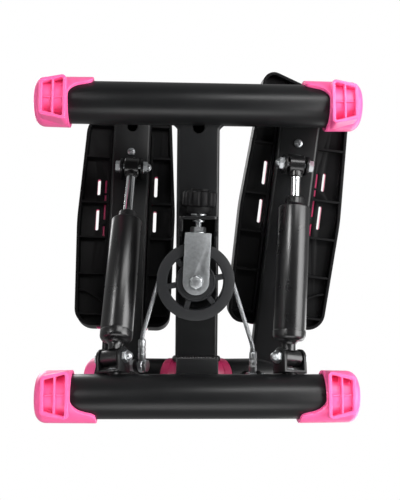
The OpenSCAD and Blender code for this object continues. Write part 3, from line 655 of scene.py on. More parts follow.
# End caps: a sleeve whose inner edge runs out in a tongue, and a framed foot under it
cap = {  # lengths along the tube are measured inward from the cap's outer face
    "long": 41.0, "radius": 29.5, "taper": 0.5, "bore": 25.1, "floor": 7.8, "floorPole": 2.0,
    "roundR": 12.0, "roundIn": 0.8, "face": [(9.0, 0.3), (2.0, 0.0)],  # radius, place
    "tongue": [(0, -27.4), (34, -27.4), (40, -27.0), (44, -25.9), (48, -23.2), (52, -17.5), (56, -11.8),
               (61, -7.8), (67, -4.6), (73, -2.1), (79, -0.6), (85, 0.0), (180, 0.0)],  # degrees, mm
    "columns": 144, "steps": 10, "edge": 0.7,
    "footIn": 39.7, "footOut": 9.3, "footInHalf": 26.6, "footOutHalf": 20.6, "footToMiddle": 3.2,
    "footRound": 4.5, "footInnerRound": 1.4, "cornerSteps": 6, "sideSteps": 10,
    "slant": 1.05,  # an inset across the slanting sides, against one along the tube
    "sink": 2.2, "sideTop": 6.0,  # how far the walls go into the sleeve, and how near its middle they stop
    "frameWide": 3.8, "draft": 0.6,
    "longRib": 2.3, "longFrom": 0.5, "longDraft": 0.3, "longSteps": 16,
    "crossRib": 1.3, "crossFrom": 1.6, "crossTo": 5.0, "crossDraft": 0.2, "ribIn": 2.0,
}


def tongueEdge(degrees):
    table = cap["tongue"]
    for (a0, x0), (a1, x1) in zip(table, table[1:]):
        if degrees <= a1:
            return x0 + (x1 - x0) * (degrees - a0) / (a1 - a0)


def sleeveRings(outerX):
    columns = [360 * k / cap["columns"] for k in range(cap["columns"])]
    table = [tongueEdge(min(a, 360 - a)) for a in columns]
    soft = [(table[k - 1] + 2 * table[k] + table[(k + 1) % len(table)]) / 4 for k in range(len(table))]

    # a ring of one radius, at a share of the way from the tongue's edge to a plane
    def ring(radius, toX, share=1.0):
        points = []
        for column, edge in zip(columns, soft):
            a, fromX = math.radians(column), outerX - cap["long"] + edge
            points.append(Vector((fromX + (toX - fromX) * share, -radius * math.cos(a),
                                  machine["tubeZ"] + radius * math.sin(a))))
        return points

    steps, roundR, floorX = cap["steps"], cap["roundR"], outerX - cap["floor"]
    roundX = outerX - roundR - cap["roundIn"]
    rings = [ring(cap["floorPole"], floorX), ring(cap["bore"], floorX)]
    rings += [ring(cap["bore"], floorX, k / (steps + 1)) for k in range(steps, -1, -1)]
    rings += [ring(cap["radius"] - cap["taper"] * k / steps, roundX, k / steps) for k in range(steps + 1)]
    bend = arcProfile(cap["radius"] - cap["taper"] - roundR, roundX, roundR, 0, 90, steps)
    rings += [ring(radius, x) for radius, x in bend[1:]]
    return rings + [ring(radius, outerX - x) for radius, x in cap["face"]]


# The height at which the foot's walls go into the sleeve
def sleeveUnder(y):
    r = cap["radius"] - cap["sink"]
    return machine["tubeZ"] - math.sqrt(max(r * r - y * y, cap["sideTop"] ** 2))


def footOutline(outerX, inset):
    inX, outX = outerX - cap["footIn"] + inset, outerX - cap["footOut"] - inset
    inHalf, outHalf = (cap[key] - inset * cap["slant"] for key in ("footInHalf", "footOutHalf"))
    y, steps = cap["footToMiddle"], cap["cornerSteps"]
    corners = [Vector((inX, y - inHalf)), Vector((outX, y - outHalf)), Vector((outX, y + outHalf)),
               Vector((inX, y + inHalf))]
    radius = max(cap["footRound"] - inset, cap["footInnerRound"])
    points = []
    for k, corner in enumerate(corners):
        back = (corners[k - 1] - corner).normalized()
        ahead = (corners[(k + 1) % 4] - corner).normalized()
        half = back.angle(ahead) / 2
        middle = corner + (back + ahead).normalized() * radius / math.sin(half)
        start, end = corner + back * radius / math.tan(half), corner + ahead * radius / math.tan(half)
        for t in range(steps + 1):
            chord = start.lerp(end, t / steps) - middle
            points.append(middle + chord.normalized() * radius)
    # points along the straight sides let the wall's top follow the sleeve
    filled = []
    for k, p in enumerate(points):
        n = points[(k + 1) % len(points)]
        cuts = cap["sideSteps"] if k % (steps + 1) == steps else 1
        filled += [p.lerp(n, t / cuts) for t in range(cuts)]
    return filled


def makeEndCap(side, end):
    outward = Matrix.Identity(4) if end == "front" else Matrix.Scale(-1, 4, (0, 1, 0))
    place = onSide(side) @ move(0, machine[end + "Y"], 0) @ outward
    outerX = machine["capEnd"][end]
    bm = lofted(sleeveRings(outerX), place)
    outside, inside, draft = (footOutline(outerX, inset) for inset in (0, cap["frameWide"], -cap["draft"]))
    foot = [[Vector((p.x, p.y, 0)) for p in outside], [Vector((p.x, p.y, sleeveUnder(p.y))) for p in draft],
            [Vector((p.x, p.y, sleeveUnder(p.y))) for p in inside], [Vector((p.x, p.y, 0)) for p in inside]]
    addLoft(bm, foot, place, looped=True)
    inX, outX, centreY = outerX - cap["footIn"], outerX - cap["footOut"], cap["footToMiddle"]
    middle, half, low = (inX + outX) / 2, cap["longRib"] / 2, cap["longFrom"]
    top, steps = half + cap["longDraft"], cap["longSteps"]
    reach = (cap["footInHalf"] + cap["footOutHalf"]) / 2 - cap["ribIn"]
    rib = []
    for y in (centreY + reach * (2 * k / steps - 1) for k in range(steps + 1)):
        high = sleeveUnder(y)
        section = ((-half, low), (half, low), (top, high), (-top, high))
        rib.append([Vector((middle + x, y, z)) for x, z in section])
    addLoft(bm, rib, place)
    half, low, high = cap["crossRib"] / 2, cap["crossFrom"], cap["crossTo"]
    top = half + cap["crossDraft"]
    section = ((-half, low), (half, low), (top, high), (-top, high))
    addLoft(bm, [[Vector((x, centreY + y, z)) for y, z in section]
                 for x in (inX + cap["ribIn"], outX - cap["ribIn"])], place)
    makePiece(end + sideName[side].title() + "EndCap", bm, "frame", "pink_plastic",
              (end + "_" + sideName[side] + "_end_cap",), bevel=cap["edge"], segments=3)


for side in (1, -1):
    for end in ("front", "rear"):
        makeEndCap(side, end)
print("end caps made")


def startGroup(name, result, inputs):
    tree = bpy.data.node_groups.new(name, "GeometryNodeTree")
    tree.is_modifier = True
    for key, kind in inputs:
        tree.interface.new_socket(key, in_out="INPUT", socket_type="NodeSocket" + kind)
    tree.interface.new_socket(result, in_out="OUTPUT", socket_type="NodeSocketGeometry")
    return tree, put(tree, "NodeGroupInput")


def endGroup(tree, given, result, geometry):
    solid = put(tree, "GeometryNodeRealizeInstances", {"Geometry": geometry})
    finished = put(tree, "GeometryNodeSetMaterial", {
        "Geometry": solid.outputs[0], "Material": given.outputs["Finish"]})
    put(tree, "NodeGroupOutput", {result: finished.outputs[0]})


# Geometry Nodes group: sets copies of one pattern on points, each with its own turn and size
def buildSetOut():
    tree, given = startGroup("setOut", "Set", (
        ("Points", "Geometry"), ("Pattern", "Object"), ("Finish", "Material")))
    pattern = put(tree, "GeometryNodeObjectInfo", {"Object": given.outputs["Pattern"], "As Instance": True})
    aim = put(tree, "GeometryNodeInputNamedAttribute", {"Name": "aim"}, data_type="FLOAT_VECTOR")
    size = put(tree, "GeometryNodeInputNamedAttribute", {"Name": "size"}, data_type="FLOAT_VECTOR")
    rotation = put(tree, "FunctionNodeEulerToRotation", {"Euler": aim.outputs["Attribute"]})
    copies = put(tree, "GeometryNodeInstanceOnPoints", {
        "Points": given.outputs["Points"], "Instance": pattern.outputs["Geometry"],
        "Rotation": rotation.outputs[0], "Scale": size.outputs["Attribute"]})
    endGroup(tree, given, "Set", copies.outputs[0])
    return tree


# Geometry Nodes group: lays strands round a path, turning once in each pitch, as a rope is closed
def buildRopeLay():
    tree, given = startGroup("ropeLay", "Rope", (
        ("Path", "Geometry"), ("Strands", "Int"), ("Ring", "Float"), ("Strand", "Float"), ("Sides", "Int"),
        ("Turn", "Float"), ("Step", "Float"), ("Finish", "Material")))
    curve = put(tree, "GeometryNodeMeshToCurve", {"Mesh": given.outputs["Path"]})
    even = put(tree, "GeometryNodeResampleCurve", {
        "Curve": curve.outputs[0], "Length": given.outputs["Step"]}, mode="LENGTH")
    along = put(tree, "GeometryNodeSplineParameter")
    twist = put(tree, "ShaderNodeMath", {
        0: along.outputs["Length"], 1: given.outputs["Turn"]}, operation="MULTIPLY")
    tilted = put(tree, "GeometryNodeSetCurveTilt", {"Curve": even.outputs[0], "Tilt": twist.outputs[0]})
    ring = put(tree, "GeometryNodeCurvePrimitiveCircle", {
        "Resolution": given.outputs["Strands"], "Radius": given.outputs["Ring"]})
    strand = put(tree, "GeometryNodeCurvePrimitiveCircle", {
        "Resolution": given.outputs["Sides"], "Radius": given.outputs["Strand"]})
    seats = put(tree, "GeometryNodeInstanceOnPoints", {
        "Points": ring.outputs[0], "Instance": strand.outputs[0]})
    section = put(tree, "GeometryNodeRealizeInstances", {"Geometry": seats.outputs[0]})
    laid = put(tree, "GeometryNodeCurveToMesh", {
        "Curve": tilted.outputs[0], "Profile Curve": section.outputs[0], "Fill Caps": True})
    endGroup(tree, given, "Rope", laid.outputs[0])
    return tree


setOutTree = buildSetOut()
ropeLayTree = buildRopeLay()


def runGroup(piece, tree, values):
    modifier = piece.modifiers.new(tree.name, "NODES")
    modifier.node_group = tree
    for item in tree.interface.items_tree:
        if item.in_out == "INPUT" and item.name in values:
            modifier[item.identifier] = values[item.name]
    scene.collection.objects.link(piece)
    takeEvaluated(piece)


# A place for a pattern, which is 10 mm each way, with the size in mm that it takes there
def sized(frameAt, x, y, z):
    return frameAt, (x / 10, y / 10, z / 10)


# Copies of a pattern at sized places; a turned-over frame is turned back, as the patterns are even
def setOut(name, places, patternBm, body, slot, replaced=(), sharp=edges["sharpFrom"], material=None):
    pattern = addObject("pattern", meshFrom(patternBm, "pattern"))
    mesh = bpy.data.meshes.new(name)
    mesh.from_pydata([frameAt.translation / 1000 for frameAt, size in places], [], [])
    aims = []
    for frameAt, size in places:
        rotation = frameAt.to_3x3()
        if rotation.determinant() < 0:
            rotation = rotation @ Matrix.Scale(-1, 3, (1, 0, 0))
        aims += list(rotation.to_euler())
    mesh.attributes.new("aim", "FLOAT_VECTOR", "POINT").data.foreach_set("vector", aims)
    sizes = [c for frameAt, size in places for c in size]
    mesh.attributes.new("size", "FLOAT_VECTOR", "POINT").data.foreach_set("vector", sizes)
    piece = bpy.data.objects.new(name, mesh)
    material = material or slotFinish[slot]
    runGroup(piece, setOutTree, {"Pattern": pattern, "Finish": material})
    bpy.data.objects.remove(pattern)
    dress(piece, material, body, replaced, sharp)


# A hexagon 10 mm across its flats and 10 mm tall, its corners turned off to a cone at the free end
def hexPattern():
    steps, flat, crown, tall, slope = 60, 5.0, 4.8, 10.0, 1.3
    angles = [math.tau * k / steps for k in range(steps)]
    reach = [flat / math.cos(a % (math.pi / 3) - math.pi / 6) for a in angles]
    sections = [[(r, 0.0) for r in reach], [(r, tall - (r - crown) * slope) for r in reach],
                [(crown, tall)] * steps]
    return lofted([[Vector((r * math.cos(a), r * math.sin(a), z)) for a, (r, z) in zip(angles, section)]
                   for section in sections])


# A block 10 mm each way with four rounded edges
def blockPattern(edge=0.6):
    bm = bmesh.new()
    addPlate(bm, roundedRectangle(5, 5, edge, 2), -5, 5)
    return bm


# A ball 10 mm across, which its size at each place presses to a weld bead
def beadPattern():
    bm = bmesh.new()
    bmesh.ops.create_icosphere(bm, subdivisions=2, radius=5)
    return bm


# Arms: rounded tubes coped and welded to their hubs
arm = {
    "half": 25.0, "tall": 12.5, "round": 4.0, "innerRound": 1.5, "wall": 2.0, "long": 350.0, "edge": 0.4,
    "drainY": -332.0, "drainR": 7.0, "drainCut": (-30.0, 0.0),
    "plug": [(2.2, 8.0), (2.2, 0.0), (0.0, 0.0), (0.0, -1.4), (0.5, -2.2), (1.4, -2.5)],  # inset, place
    "hubR": 24.0, "sink": 0.2, "copeCut": (30.0, 156.0), "copeSearch": (-60.0, -2.0),
}
weld = {
    "up": (0.3, 0.2, 1.0),  # a way that no seam runs
    "armBead": (3.4, 2.6, 2.4), "armStep": 1.9, "armLeap": 10.0, "fill": 3.0,
    "spineBead": (6.4, 7.6, 8.0), "spineStep": 3.2, "spineLeap": 80.0,
}


def armRing(shrink, y):
    outline = roundedRectangle(arm["half"] - shrink, arm["tall"] - shrink,
                               max(arm["round"] - shrink, arm["innerRound"]))
    return [Vector((x, y, z)) for x, z in outline]


def inHubTube(p):
    return p.to_2d().length < arm["hubR"] - arm["sink"]


# Where a line along the arm meets its hub tube, or None where it passes by
def copePoint(toHub, x, z):
    if inHubTube(toHub @ Vector((x, arm["copeSearch"][1], z))):
        return Vector((x, enters(toHub, x, z, arm["copeSearch"], inHubTube), z))


# The seam round the arm's outside, with points every few mm so that the beads follow its real line
def armSeam(side):
    toHub = hubFrame(side, swingOf(side)).inverted() @ armFrame(side)
    outline = roundedRectangle(arm["half"], arm["tall"], arm["round"], 4)
    points = [p for p in (copePoint(toHub, x, z) for x, z in outline) if p is not None]
    line = []
    for a, b in zip(points, points[1:]):
        cuts = max(int((b - a).length / weld["fill"]), 1)
        for p in (a.lerp(b, k / cuts) for k in range(cuts)):
            line.append(copePoint(toHub, p.x, p.z) or p)
    return line + points[-1:]


# Places for weld beads along a line of points: each bead lies along the line, and none on a longer leap
def beadPlaces(points, frameAt, kind):
    step, leap, size = (weld[kind + key] for key in ("Step", "Leap", "Bead"))
    places, left = [], 0.0
    for a, b in zip(points, points[1:]):
        a, b = frameAt @ a, frameAt @ b
        way = b - a
        if way.length > leap:
            continue
        run = left
        while run < way.length:
            at = a + way * run / way.length
            places.append(sized(aimFrame(at, way.cross(Vector(weld["up"])), way), *size))
            run += step
        left = run - way.length
    return places


def makeArm(side):
    name, body, place = sideName[side], sideName[side] + "_arm", armFrame(side)
    wall, end, coped = arm["wall"], -arm["long"], arm["hubR"] - arm["sink"]
    bm = lofted([armRing(0, end), armRing(0, 0), armRing(wall, 0), armRing(wall, end)], place, True)
    cutter = turned([(coped, z) for z in arm["copeCut"]], hubFrame(side, swingOf(side)), facets["large"])
    addLathe(cutter, [(arm["drainR"], z) for z in arm["drainCut"]], place @ move(0, arm["drainY"], 0),
             facets["bolt"])
    makePiece(name + "ArmTube", bm, body, "black_steel", (name + "_arm_tube",), cutter=cutter,
              bevel=arm["edge"], segments=1)
    plug = lofted([armRing(inset, end + y) for inset, y in arm["plug"]], place)
    makePiece(name + "ArmPlug", plug, body, "black_plastic", (name + "_arm_plug",))
    setOut(name + "ArmWeld", beadPlaces(armSeam(side), place, "arm"), beadPattern(), body, "black_steel",
           sharp=edges["roundSharp"])


# Hubs: the tube, the pink bush whose long collar shows, and the pink cap on the outer end
hub = {  # sections as radius and distance along the axis
    "tube": ringProfile(21.5, 24.0, 37.0, 128.0, 0.6),
    # the mould's parting line runs round the collar as a shallow groove
    "innerBush": [(10.05, 15.8), (23.2, 15.8), (24.2, 16.2), (24.6, 17.2), (24.6, 25.6), (24.1, 25.9),
                  (24.1, 26.5), (24.6, 26.8), (24.6, 35.8), (24.2, 36.7), (23.4, 37.0), (21.4, 37.0),
                  (21.4, 62.0), (10.05, 62.0)],
    "outerBush": [(10.05, 105.0), (21.4, 105.0), (21.4, 128.0), (20.0, 128.0), (20.0, 130.2), (10.05, 130.2)],
    "cap": [(1, 142.0), (17.0, 142.0), (21.0, 139.0), (21.0, 128.0), (23.5, 128.0), (24.0, 128.5)]
    + arcProfile(19.0, 140.0, 5.0, 0, 90, 8) + [(1, 145.0)],
}


def makeHub(side):
    name, body, place = sideName[side], sideName[side] + "_arm", hubFrame(side)
    makePiece(name + "ArmHub", turned(hub["tube"], place, facets["large"], True), body, "black_steel",
              (name + "_arm_hub",))
    bm = turned(hub["innerBush"], place, facets["large"], True)
    addLathe(bm, hub["outerBush"], place, facets["large"], True)
    # the bushes take the deeper pink, which paints the shade on their collars into the colour
    makePiece(name + "HubBushes", bm, body, "pink_plastic", (name + "_hub_bushes",), material=paintedShadePink)
    makePiece(name + "HubCap", turned(hub["cap"], place, facets["large"]), body, "pink_plastic",
              (name + "_hub_cap",))


for side in (1, -1):
    makeArm(side)
    makeHub(side)
spineSeam = spineRing(0)
# the smooth weld shines as enamel does
setOut("spineWeld", beadPlaces(spineSeam + spineSeam[:1], Matrix.Identity(4), "spine"), beadPattern(),
       "frame", "black_steel", sharp=edges["roundSharp"], material=enamel)
print("arms and hubs made")


# Hydraulic cylinders: a drawn tube with a rolled foot, a lower eye, a gland and a chromed rod
damper = {  # sections as radius and distance along the axis of the cylinder, the rod or the eye
    "tube": [(1, 27), (17, 27), (17, 178.9), (18.3, 178.9), (18.9, 178.3), (19, 177.4), (19, 33.4),
             (18.7, 32.9), (18.7, 31.5), (19.1, 31.0), (19.1, 29.2), (19, 28.4), (19, 25.6), (18.5, 23.5),
             (17.1, 21.6), (15.2, 20.5), (13, 20), (1, 20)],
    "gland": [(6.08, 168), (16.9, 168), (16.9, 178.9), (18.2, 179.0), (17.6, 179.9), (15.0, 181.0),
              (12.6, 181.9), (11.6, 182.7), (11.3, 183.8), (11.3, 189.6), (10.9, 191.0), (9.8, 191.9),
              (8.6, 192.0), (6.08, 192.0)],
    "eye": ringProfile(4.06, 10.0, -9.5, 13.5, 0.9),
    "neck": [(1, 8.5), (8, 8.5), (8, 14), (8.3, 15.8), (9.2, 17.6), (10.8, 19.1), (13, 20.2), (1, 20.6)],
    "rod": barProfile(6.0, -166.0, -15.5),
    "rodEye": ringProfile(9.0, 12.0, -9.0, 9.0, 0.9),
    "rodNeck": [(1, -16), (7.0, -16), (7.9, -15.2), (8.0, -14), (8.0, -9.2), (1, -9.2)],
}


def makeDamper(side):
    name, place, eyePlace = sideName[side], cylinderFrame(side), rodEyeFrame(side)
    body, rodBody = name + "_cylinder", name + "_rod"
    bm = turned(damper["tube"], place, facets["large"])
    addLathe(bm, damper["eye"], bracketFrame(side) @ turn(90, "Y"), looped=True)
    addLathe(bm, damper["neck"], place)
    makePiece(name + "CylinderTube", bm, body, "black_steel", (name + "_cylinder_tube",), material=enamel)
    makePiece(name + "CylinderGland", turned(damper["gland"], place, facets["large"], True), body,
              "black_steel", (name + "_cylinder_gland",), material=enamel)
    makePiece(name + "PistonRod", turned(damper["rod"], eyePlace), rodBody, "chrome_rod",
              (name + "_piston_rod",))
    bm = turned(damper["rodEye"], eyePlace @ turn(90, "Y"), looped=True)
    addLathe(bm, damper["rodNeck"], eyePlace)
    makePiece(name + "RodEye", bm, rodBody, "black_steel", (name + "_rod_eye",), material=enamel)
    softenNode(name + "_rod_bush", rodBody, "black_rubber", edges["fine"], 1)
    softenNode(name + "_upper_bracket", name + "_arm", "black_steel", edges["plate"])


# Pins, bolts, nuts and washers, all zinc plated
joint = {
    "boltR": 4.0, "hexWide": 13.0, "washerBore": 3.9, "washerEdge": 0.3, "washerR": 8.0, "washerThick": 1.3,
    "domeFoot": 0.98, "domePole": 0.4,  # share of the dome's radius, mm
    "upperHalf": 14.5, "upperPast": 6.0, "upperHead": 5.0, "upperNut": 4.8,
    "upperDome": (5.6, 5.2, 0.3),  # how far past the pin's seat, radius, straight part
    "relief": 12.0, "reliefR": 3.1, "reliefStep": 0.9,
    "lowerIn": -13.5, "lowerOut": 17.5, "lowerPast": 2.0, "lowerHex": 5.0, "lowerDome": (4.6, 5.6, 0.4),
    "bracketBolt": (2.0, 0.0, 14.5), "bracketHex": 2.2,
    "lugAt": (-9.2, -46.0), "lugFrom": 53.3, "lugThick": 5.0, "eyeThick": 6.0,
    "lugWasher": 1.2, "lugHead": 4.2, "lugNut": 5.5, "lugIn": 1.0,
    "lugTip": [(4.0, 8.0), (3.4, 8.6), (1, 8.6)],  # radius, distance past the lug
}


# The frame of a fastener: Z along its axis, outward
def fastener(frameAt, place, way):
    axis, hint = (frameAt.to_3x3() @ Vector(v) for v in (way, (way[1], way[2], way[0])))
    return aimFrame(frameAt @ Vector(place), axis, hint)


def washer(bm, frameAt, place, way, radius, thick):
    section = ringProfile(joint["washerBore"], radius, 0, thick, joint["washerEdge"])
    addLathe(bm, section, fastener(frameAt, place, way), facets["washer"], True)


def hexAt(frameAt, place, way, tall, wide=joint["hexWide"]):
    return sized(fastener(frameAt, place, way), wide, wide, tall)


# The end of a domed nut: a short straight foot under a quarter round
def dome(bm, frameAt, place, way, radius, low):
    crown = [(radius * math.cos(a), low + radius * math.sin(a)) for a in map(math.radians, range(0, 86, 10))]
    addLathe(bm, [(radius * joint["domeFoot"], 0)] + crown + [(joint["domePole"], low + radius)],
             fastener(frameAt, place, way), facets["bolt"])


def makeUpperPin(side):
    name, body = sideName[side], sideName[side] + "_arm"
    place = armFrame(side) @ Matrix.Translation(machine["upperPin"])
    half, thick, r, thin = joint["upperHalf"], joint["washerThick"], joint["boltR"], joint["reliefR"]
    # the pin is relieved inside the rubber bush, which leaves room for the eye's play
    relief, step, end = joint["relief"], joint["reliefStep"], half + joint["upperPast"]
    bm = turned([(1, -end), (r, -end), (r, -relief), (thin, step - relief), (thin, relief - step),
                 (r, relief), (r, end), (1, end)], place @ turn(90, "Y"), facets["bolt"])
    washer(bm, place, (half, 0, 0), (1, 0, 0), joint["washerR"], thick)
    washer(bm, place, (-half, 0, 0), (-1, 0, 0), joint["washerR"], thick)
    past, radius, foot = joint["upperDome"]
    dome(bm, place, (-half - past, 0, 0), (-1, 0, 0), radius, foot)
    makePiece(name + "UpperPin", bm, body, "zinc_steel", (name + "_upper_pin",))
    hexes = [hexAt(place, (half + thick, 0, 0), (1, 0, 0), joint["upperHead"]),
             hexAt(place, (-half - thick, 0, 0), (-1, 0, 0), joint["upperNut"])]
    setOut(name + "UpperPinHexes", hexes, hexPattern(), body, "zinc_steel")


def makeLowerPins():
    bm = bmesh.new()
    hexes, feet = [], []
    inner, outer, past = joint["lowerIn"], joint["lowerOut"], joint["lowerPast"]
    domePast, radius, foot = joint["lowerDome"]
    for side in (1, -1):
        place = bracketFrame(side)
        addLathe(bm, barProfile(joint["boltR"], inner - past, outer + past), place @ turn(90, "Y"),
                 facets["bolt"])
        dome(bm, place, (inner - domePast, 0, 0), (-1, 0, 0), radius, foot)
        hexes += [hexAt(place, (outer, 0, 0), (1, 0, 0), joint["lowerHex"]),
                  hexAt(place, (inner, 0, 0), (-1, 0, 0), joint["lowerHex"])]
        feet.append(hexAt(place, joint["bracketBolt"], (0, 0, -1), joint["bracketHex"]))
    makePiece("lowerPins", bm, "frame", "zinc_steel", ("lower_pins",))
    setOut("lowerPinHexes", hexes, hexPattern(), "frame", "zinc_steel")
    setOut("bracketBolts", feet, hexPattern(), "frame", "zinc_steel", ("bracket_bolts",))


def makeCableBolt(side):
    name, body = sideName[side], sideName[side] + "_arm"
    place = hubFrame(side, swingOf(side)) @ move(*joint["lugAt"], 0)
    head, nut = joint["lugFrom"] - joint["eyeThick"], joint["lugFrom"] + joint["lugThick"]
    tip, start = [(r, nut + z) for r, z in joint["lugTip"]], head - joint["lugIn"]
    bm = turned([(1, start), (joint["boltR"], start)] + tip, place, facets["bolt"])
    washer(bm, place, (0, 0, nut), (0, 0, 1), joint["washerR"], joint["lugWasher"])
    makePiece(name + "CableBolt", bm, body, "zinc_steel", (name + "_cable_bolt",))
    hexes = [hexAt(place, (0, 0, head), (0, 0, -1), joint["lugHead"]),
             hexAt(place, (0, 0, nut + joint["lugWasher"]), (0, 0, 1), joint["lugNut"])]
    setOut(name + "CableBoltHexes", hexes, hexPattern(), body, "zinc_steel")
    softenNode(name + "_cable_lug", body, "black_steel", edges["plate"])


for side in (1, -1):
    makeDamper(side)
    makeUpperPin(side)
    makeCableBolt(side)
makeLowerPins()
softenNode("axle_retainers", "frame", "zinc_steel", edges["fine"], 1)
print("cylinders and pins made")


# Pedals: moulded trays with a rolled rim, a skirt and ribs, and a pink grip mat that shows at the heel
pedal = {
    "corners": [(-59, -65, 18), (63, -65, 22), (68, -205, 300), (61, -352, 34), (-50, -387, 14),
                (-61, -215, 300)],  # x, y, radius
    "rings": [(6, 16.5), (4.6, 17.1), (4, 18.5), (4, 36.5), (3.6, 37.6), (2.6, 38.4), (1.6, 38.5),
              (0.5, 37.9), (0, 36.5), (0, 4.0), (0.5, 3.5), (3.5, 3.5), (4, 4.0), (4, 11),
              (5.5, 12.5)],  # inset, height
    "bed": ((-25.8, -353.5, -20), (25.8, -50, 12.4)), "heel": ((-31.0, -74, 16.6), (36.0, -55, 60)),
    "edge": 0.5, "cornerSteps": 4, "tabSteps": 3,
    "slots": [(-34.1, -272, -242), (-34.1, -223, -193), (42.3, -265, -242), (42.3, -223, -193)],
    "slotWide": 4.2, "slotRound": 1.9, "slotBorder": 3.0, "slotCut": (-5, 60), "matCut": (8, 60),
    "ribYs": [-80, -133, -182, -230, -294, -340], "ribInset": 3.0, "ribFrom": 26.2, "ribZ": 8.4,
    "ribThick": 2.6, "ribTall": 9.2, "longRibX": 27.6, "longRibY": -205, "longRib": (2.8, 250.0),
    "heelRib": (28.0, 62.0, -97.0, -112.0), "heelRibZ": 9.6, "heelRibSteps": 8, "heelRibLap": 0.8,
    "heelRibSection": (2.4, 6.4),
    "matRings": [(5.4, 16.5), (4.6, 17.3), (4.5, 20.6), (5.2, 21.4), (6.4, 21.6)],
    "lipMiddle": (2.5, -68.5), "lipHalf": (32.9, 5.6), "lipRound": 2.0, "lipZ": (16.6, 21.4),
    "tabs": [(-263, -245.5), (-242.5, -234.5), (-229, -208.5), (-199, -184)], "tabX": 33.0, "tabHalf": 0.9,
    "tabRound": 0.72, "tabZ": (13.6, 16.9), "tabRoom": (1.4, 0.5), "tabCut": (8, 17),
    "ridgeFrom": -352, "ridgeTo": -78, "ridgeStep": 9.0, "ridgeInset": 11.0, "ridgeZ": 21.6,
    "ridge": (3.4, 2.6), "ridgeEdge": 1.6,
    "screwYs": [-110, -295.7], "screwZ": -12.5, "screwTurn": 20, "recessZ": (1.6, 6),
    "screw": [(1, -29), (3.9, -29), (3.9, 0), (5.4, 0)] + arcProfile(3.2, 0.8, 2.2, 0, 80, 6)
    + [(2.6, 3.1), (0.5, 3.2)],
    "recess": [(0.6, 2.8), (-0.6, 2.8), (-0.6, 0.6)],  # one arm of the cross
}


def pedalOutline(inset, steps=10):
    corners = [Vector(c[:2]) for c in pedal["corners"]]
    points = []
    for k, corner in enumerate(corners):
        back = (corners[k - 1] - corner).normalized()
        ahead = (corners[(k + 1) % len(corners)] - corner).normalized()
        half = back.angle(ahead) / 2
        radius = pedal["corners"][k][2]
        bisector = (back + ahead).normalized()
        middle = corner + bisector * radius / math.sin(half)
        sweep = math.pi / 2 - half
        facing = math.atan2(-bisector.y, -bisector.x)
        # the corners run clockwise seen from above, heel first, so the angle falls along each arc
        for t in range(steps + 1):
            a = facing + sweep * (1 - 2 * t / steps)
            points.append(middle + (radius - inset) * Vector((math.cos(a), math.sin(a))))
    return points


def pedalRings(stations):
    return [[Vector((p.x, p.y, z)) for p in pedalOutline(inset)] for inset, z in stations]


# How far the outline reaches to each side at a place along the pedal
def pedalSpan(y, inset):
    outline = pedalOutline(inset)
    xs = []
    for a, b in zip(outline, outline[1:] + outline[:1]):
        if (a.y - y) * (b.y - y) < 0:
            xs.append(a.x + (b.x - a.x) * (y - a.y) / (b.y - a.y))
    return min(xs), max(xs)


# The parts of a ridge that lie clear of the slots
def clearSpans(low, high, y):
    border = pedal["slotWide"] / 2 + pedal["slotBorder"]
    spans = []
    for x, y0, y1 in sorted(pedal["slots"]):
        if y0 - pedal["slotBorder"] < y < y1 + pedal["slotBorder"]:
            spans.append((low, x - border))
            low = x + border
    return spans + [(low, high)]


def addBox(bm, low, high, matrix):
    middle, half = (Vector(low) + Vector(high)) / 2, (Vector(high) - Vector(low)) / 2
    outline = [(x * half.x, y * half.y) for x, y in ((-1, -1), (1, -1), (1, 1), (-1, 1))]
    addPlate(bm, outline, -half.z, half.z, matrix @ Matrix.Translation(middle))


def addSlots(bm, heights, matrix):
    for x, y0, y1 in pedal["slots"]:
        addRounded(bm, (x, (y0 + y1) / 2), (pedal["slotWide"] / 2, (y1 - y0) / 2), pedal["slotRound"],
                   pedal["cornerSteps"], *heights, matrix)


def makeTray(name, body, place):
    cutter = bmesh.new()
    addBox(cutter, *pedal["bed"], place)
    addBox(cutter, *pedal["heel"], place)
    addSlots(cutter, pedal["slotCut"], place)
    x, (roomX, roomY), (low, high) = pedal["tabX"], pedal["tabRoom"], pedal["tabCut"]
    for y0, y1 in pedal["tabs"]:
        addBox(cutter, (x - roomX, y0 - roomY, low), (x + roomX, y1 + roomY, high), place)
    makePiece(name + "Pedal", lofted(pedalRings(pedal["rings"]), place), body, "black_plastic",
              (name + "_pedal",), cutter=cutter, bevel=pedal["edge"])

    ribs = []
    for y in pedal["ribYs"]:
        low, high = pedalSpan(y, pedal["ribInset"])
        for x0, x1 in ((low, -pedal["ribFrom"]), (pedal["ribFrom"], high)):
            middle = place @ move((x0 + x1) / 2, y, pedal["ribZ"])
            ribs.append(sized(middle, x1 - x0, pedal["ribThick"], pedal["ribTall"]))
    for x in (-pedal["longRibX"], pedal["longRibX"]):
        middle = place @ move(x, pedal["longRibY"], pedal["ribZ"])
        ribs.append(sized(middle, *pedal["longRib"], pedal["ribTall"]))
    # a bowed rib stiffens the heel on the outer side
    x0, x1, y0, y1 = pedal["heelRib"]
    steps = pedal["heelRibSteps"]
    bow = [Vector((x0 + (x1 - x0) * k / steps, y0 + (y1 - y0) * math.sin(math.pi / 2 * k / steps),
                   pedal["heelRibZ"])) for k in range(steps + 1)]
    for a, b in zip(bow, bow[1:]):
        lean = math.degrees(math.atan2(b.y - a.y, b.x - a.x))
        ribs.append(sized(place @ Matrix.Translation((a + b) / 2) @ turn(lean, "Z"),
                          (b - a).length + pedal["heelRibLap"], *pedal["heelRibSection"]))
    setOut(name + "PedalRibs", ribs, blockPattern(), body, "black_plastic")


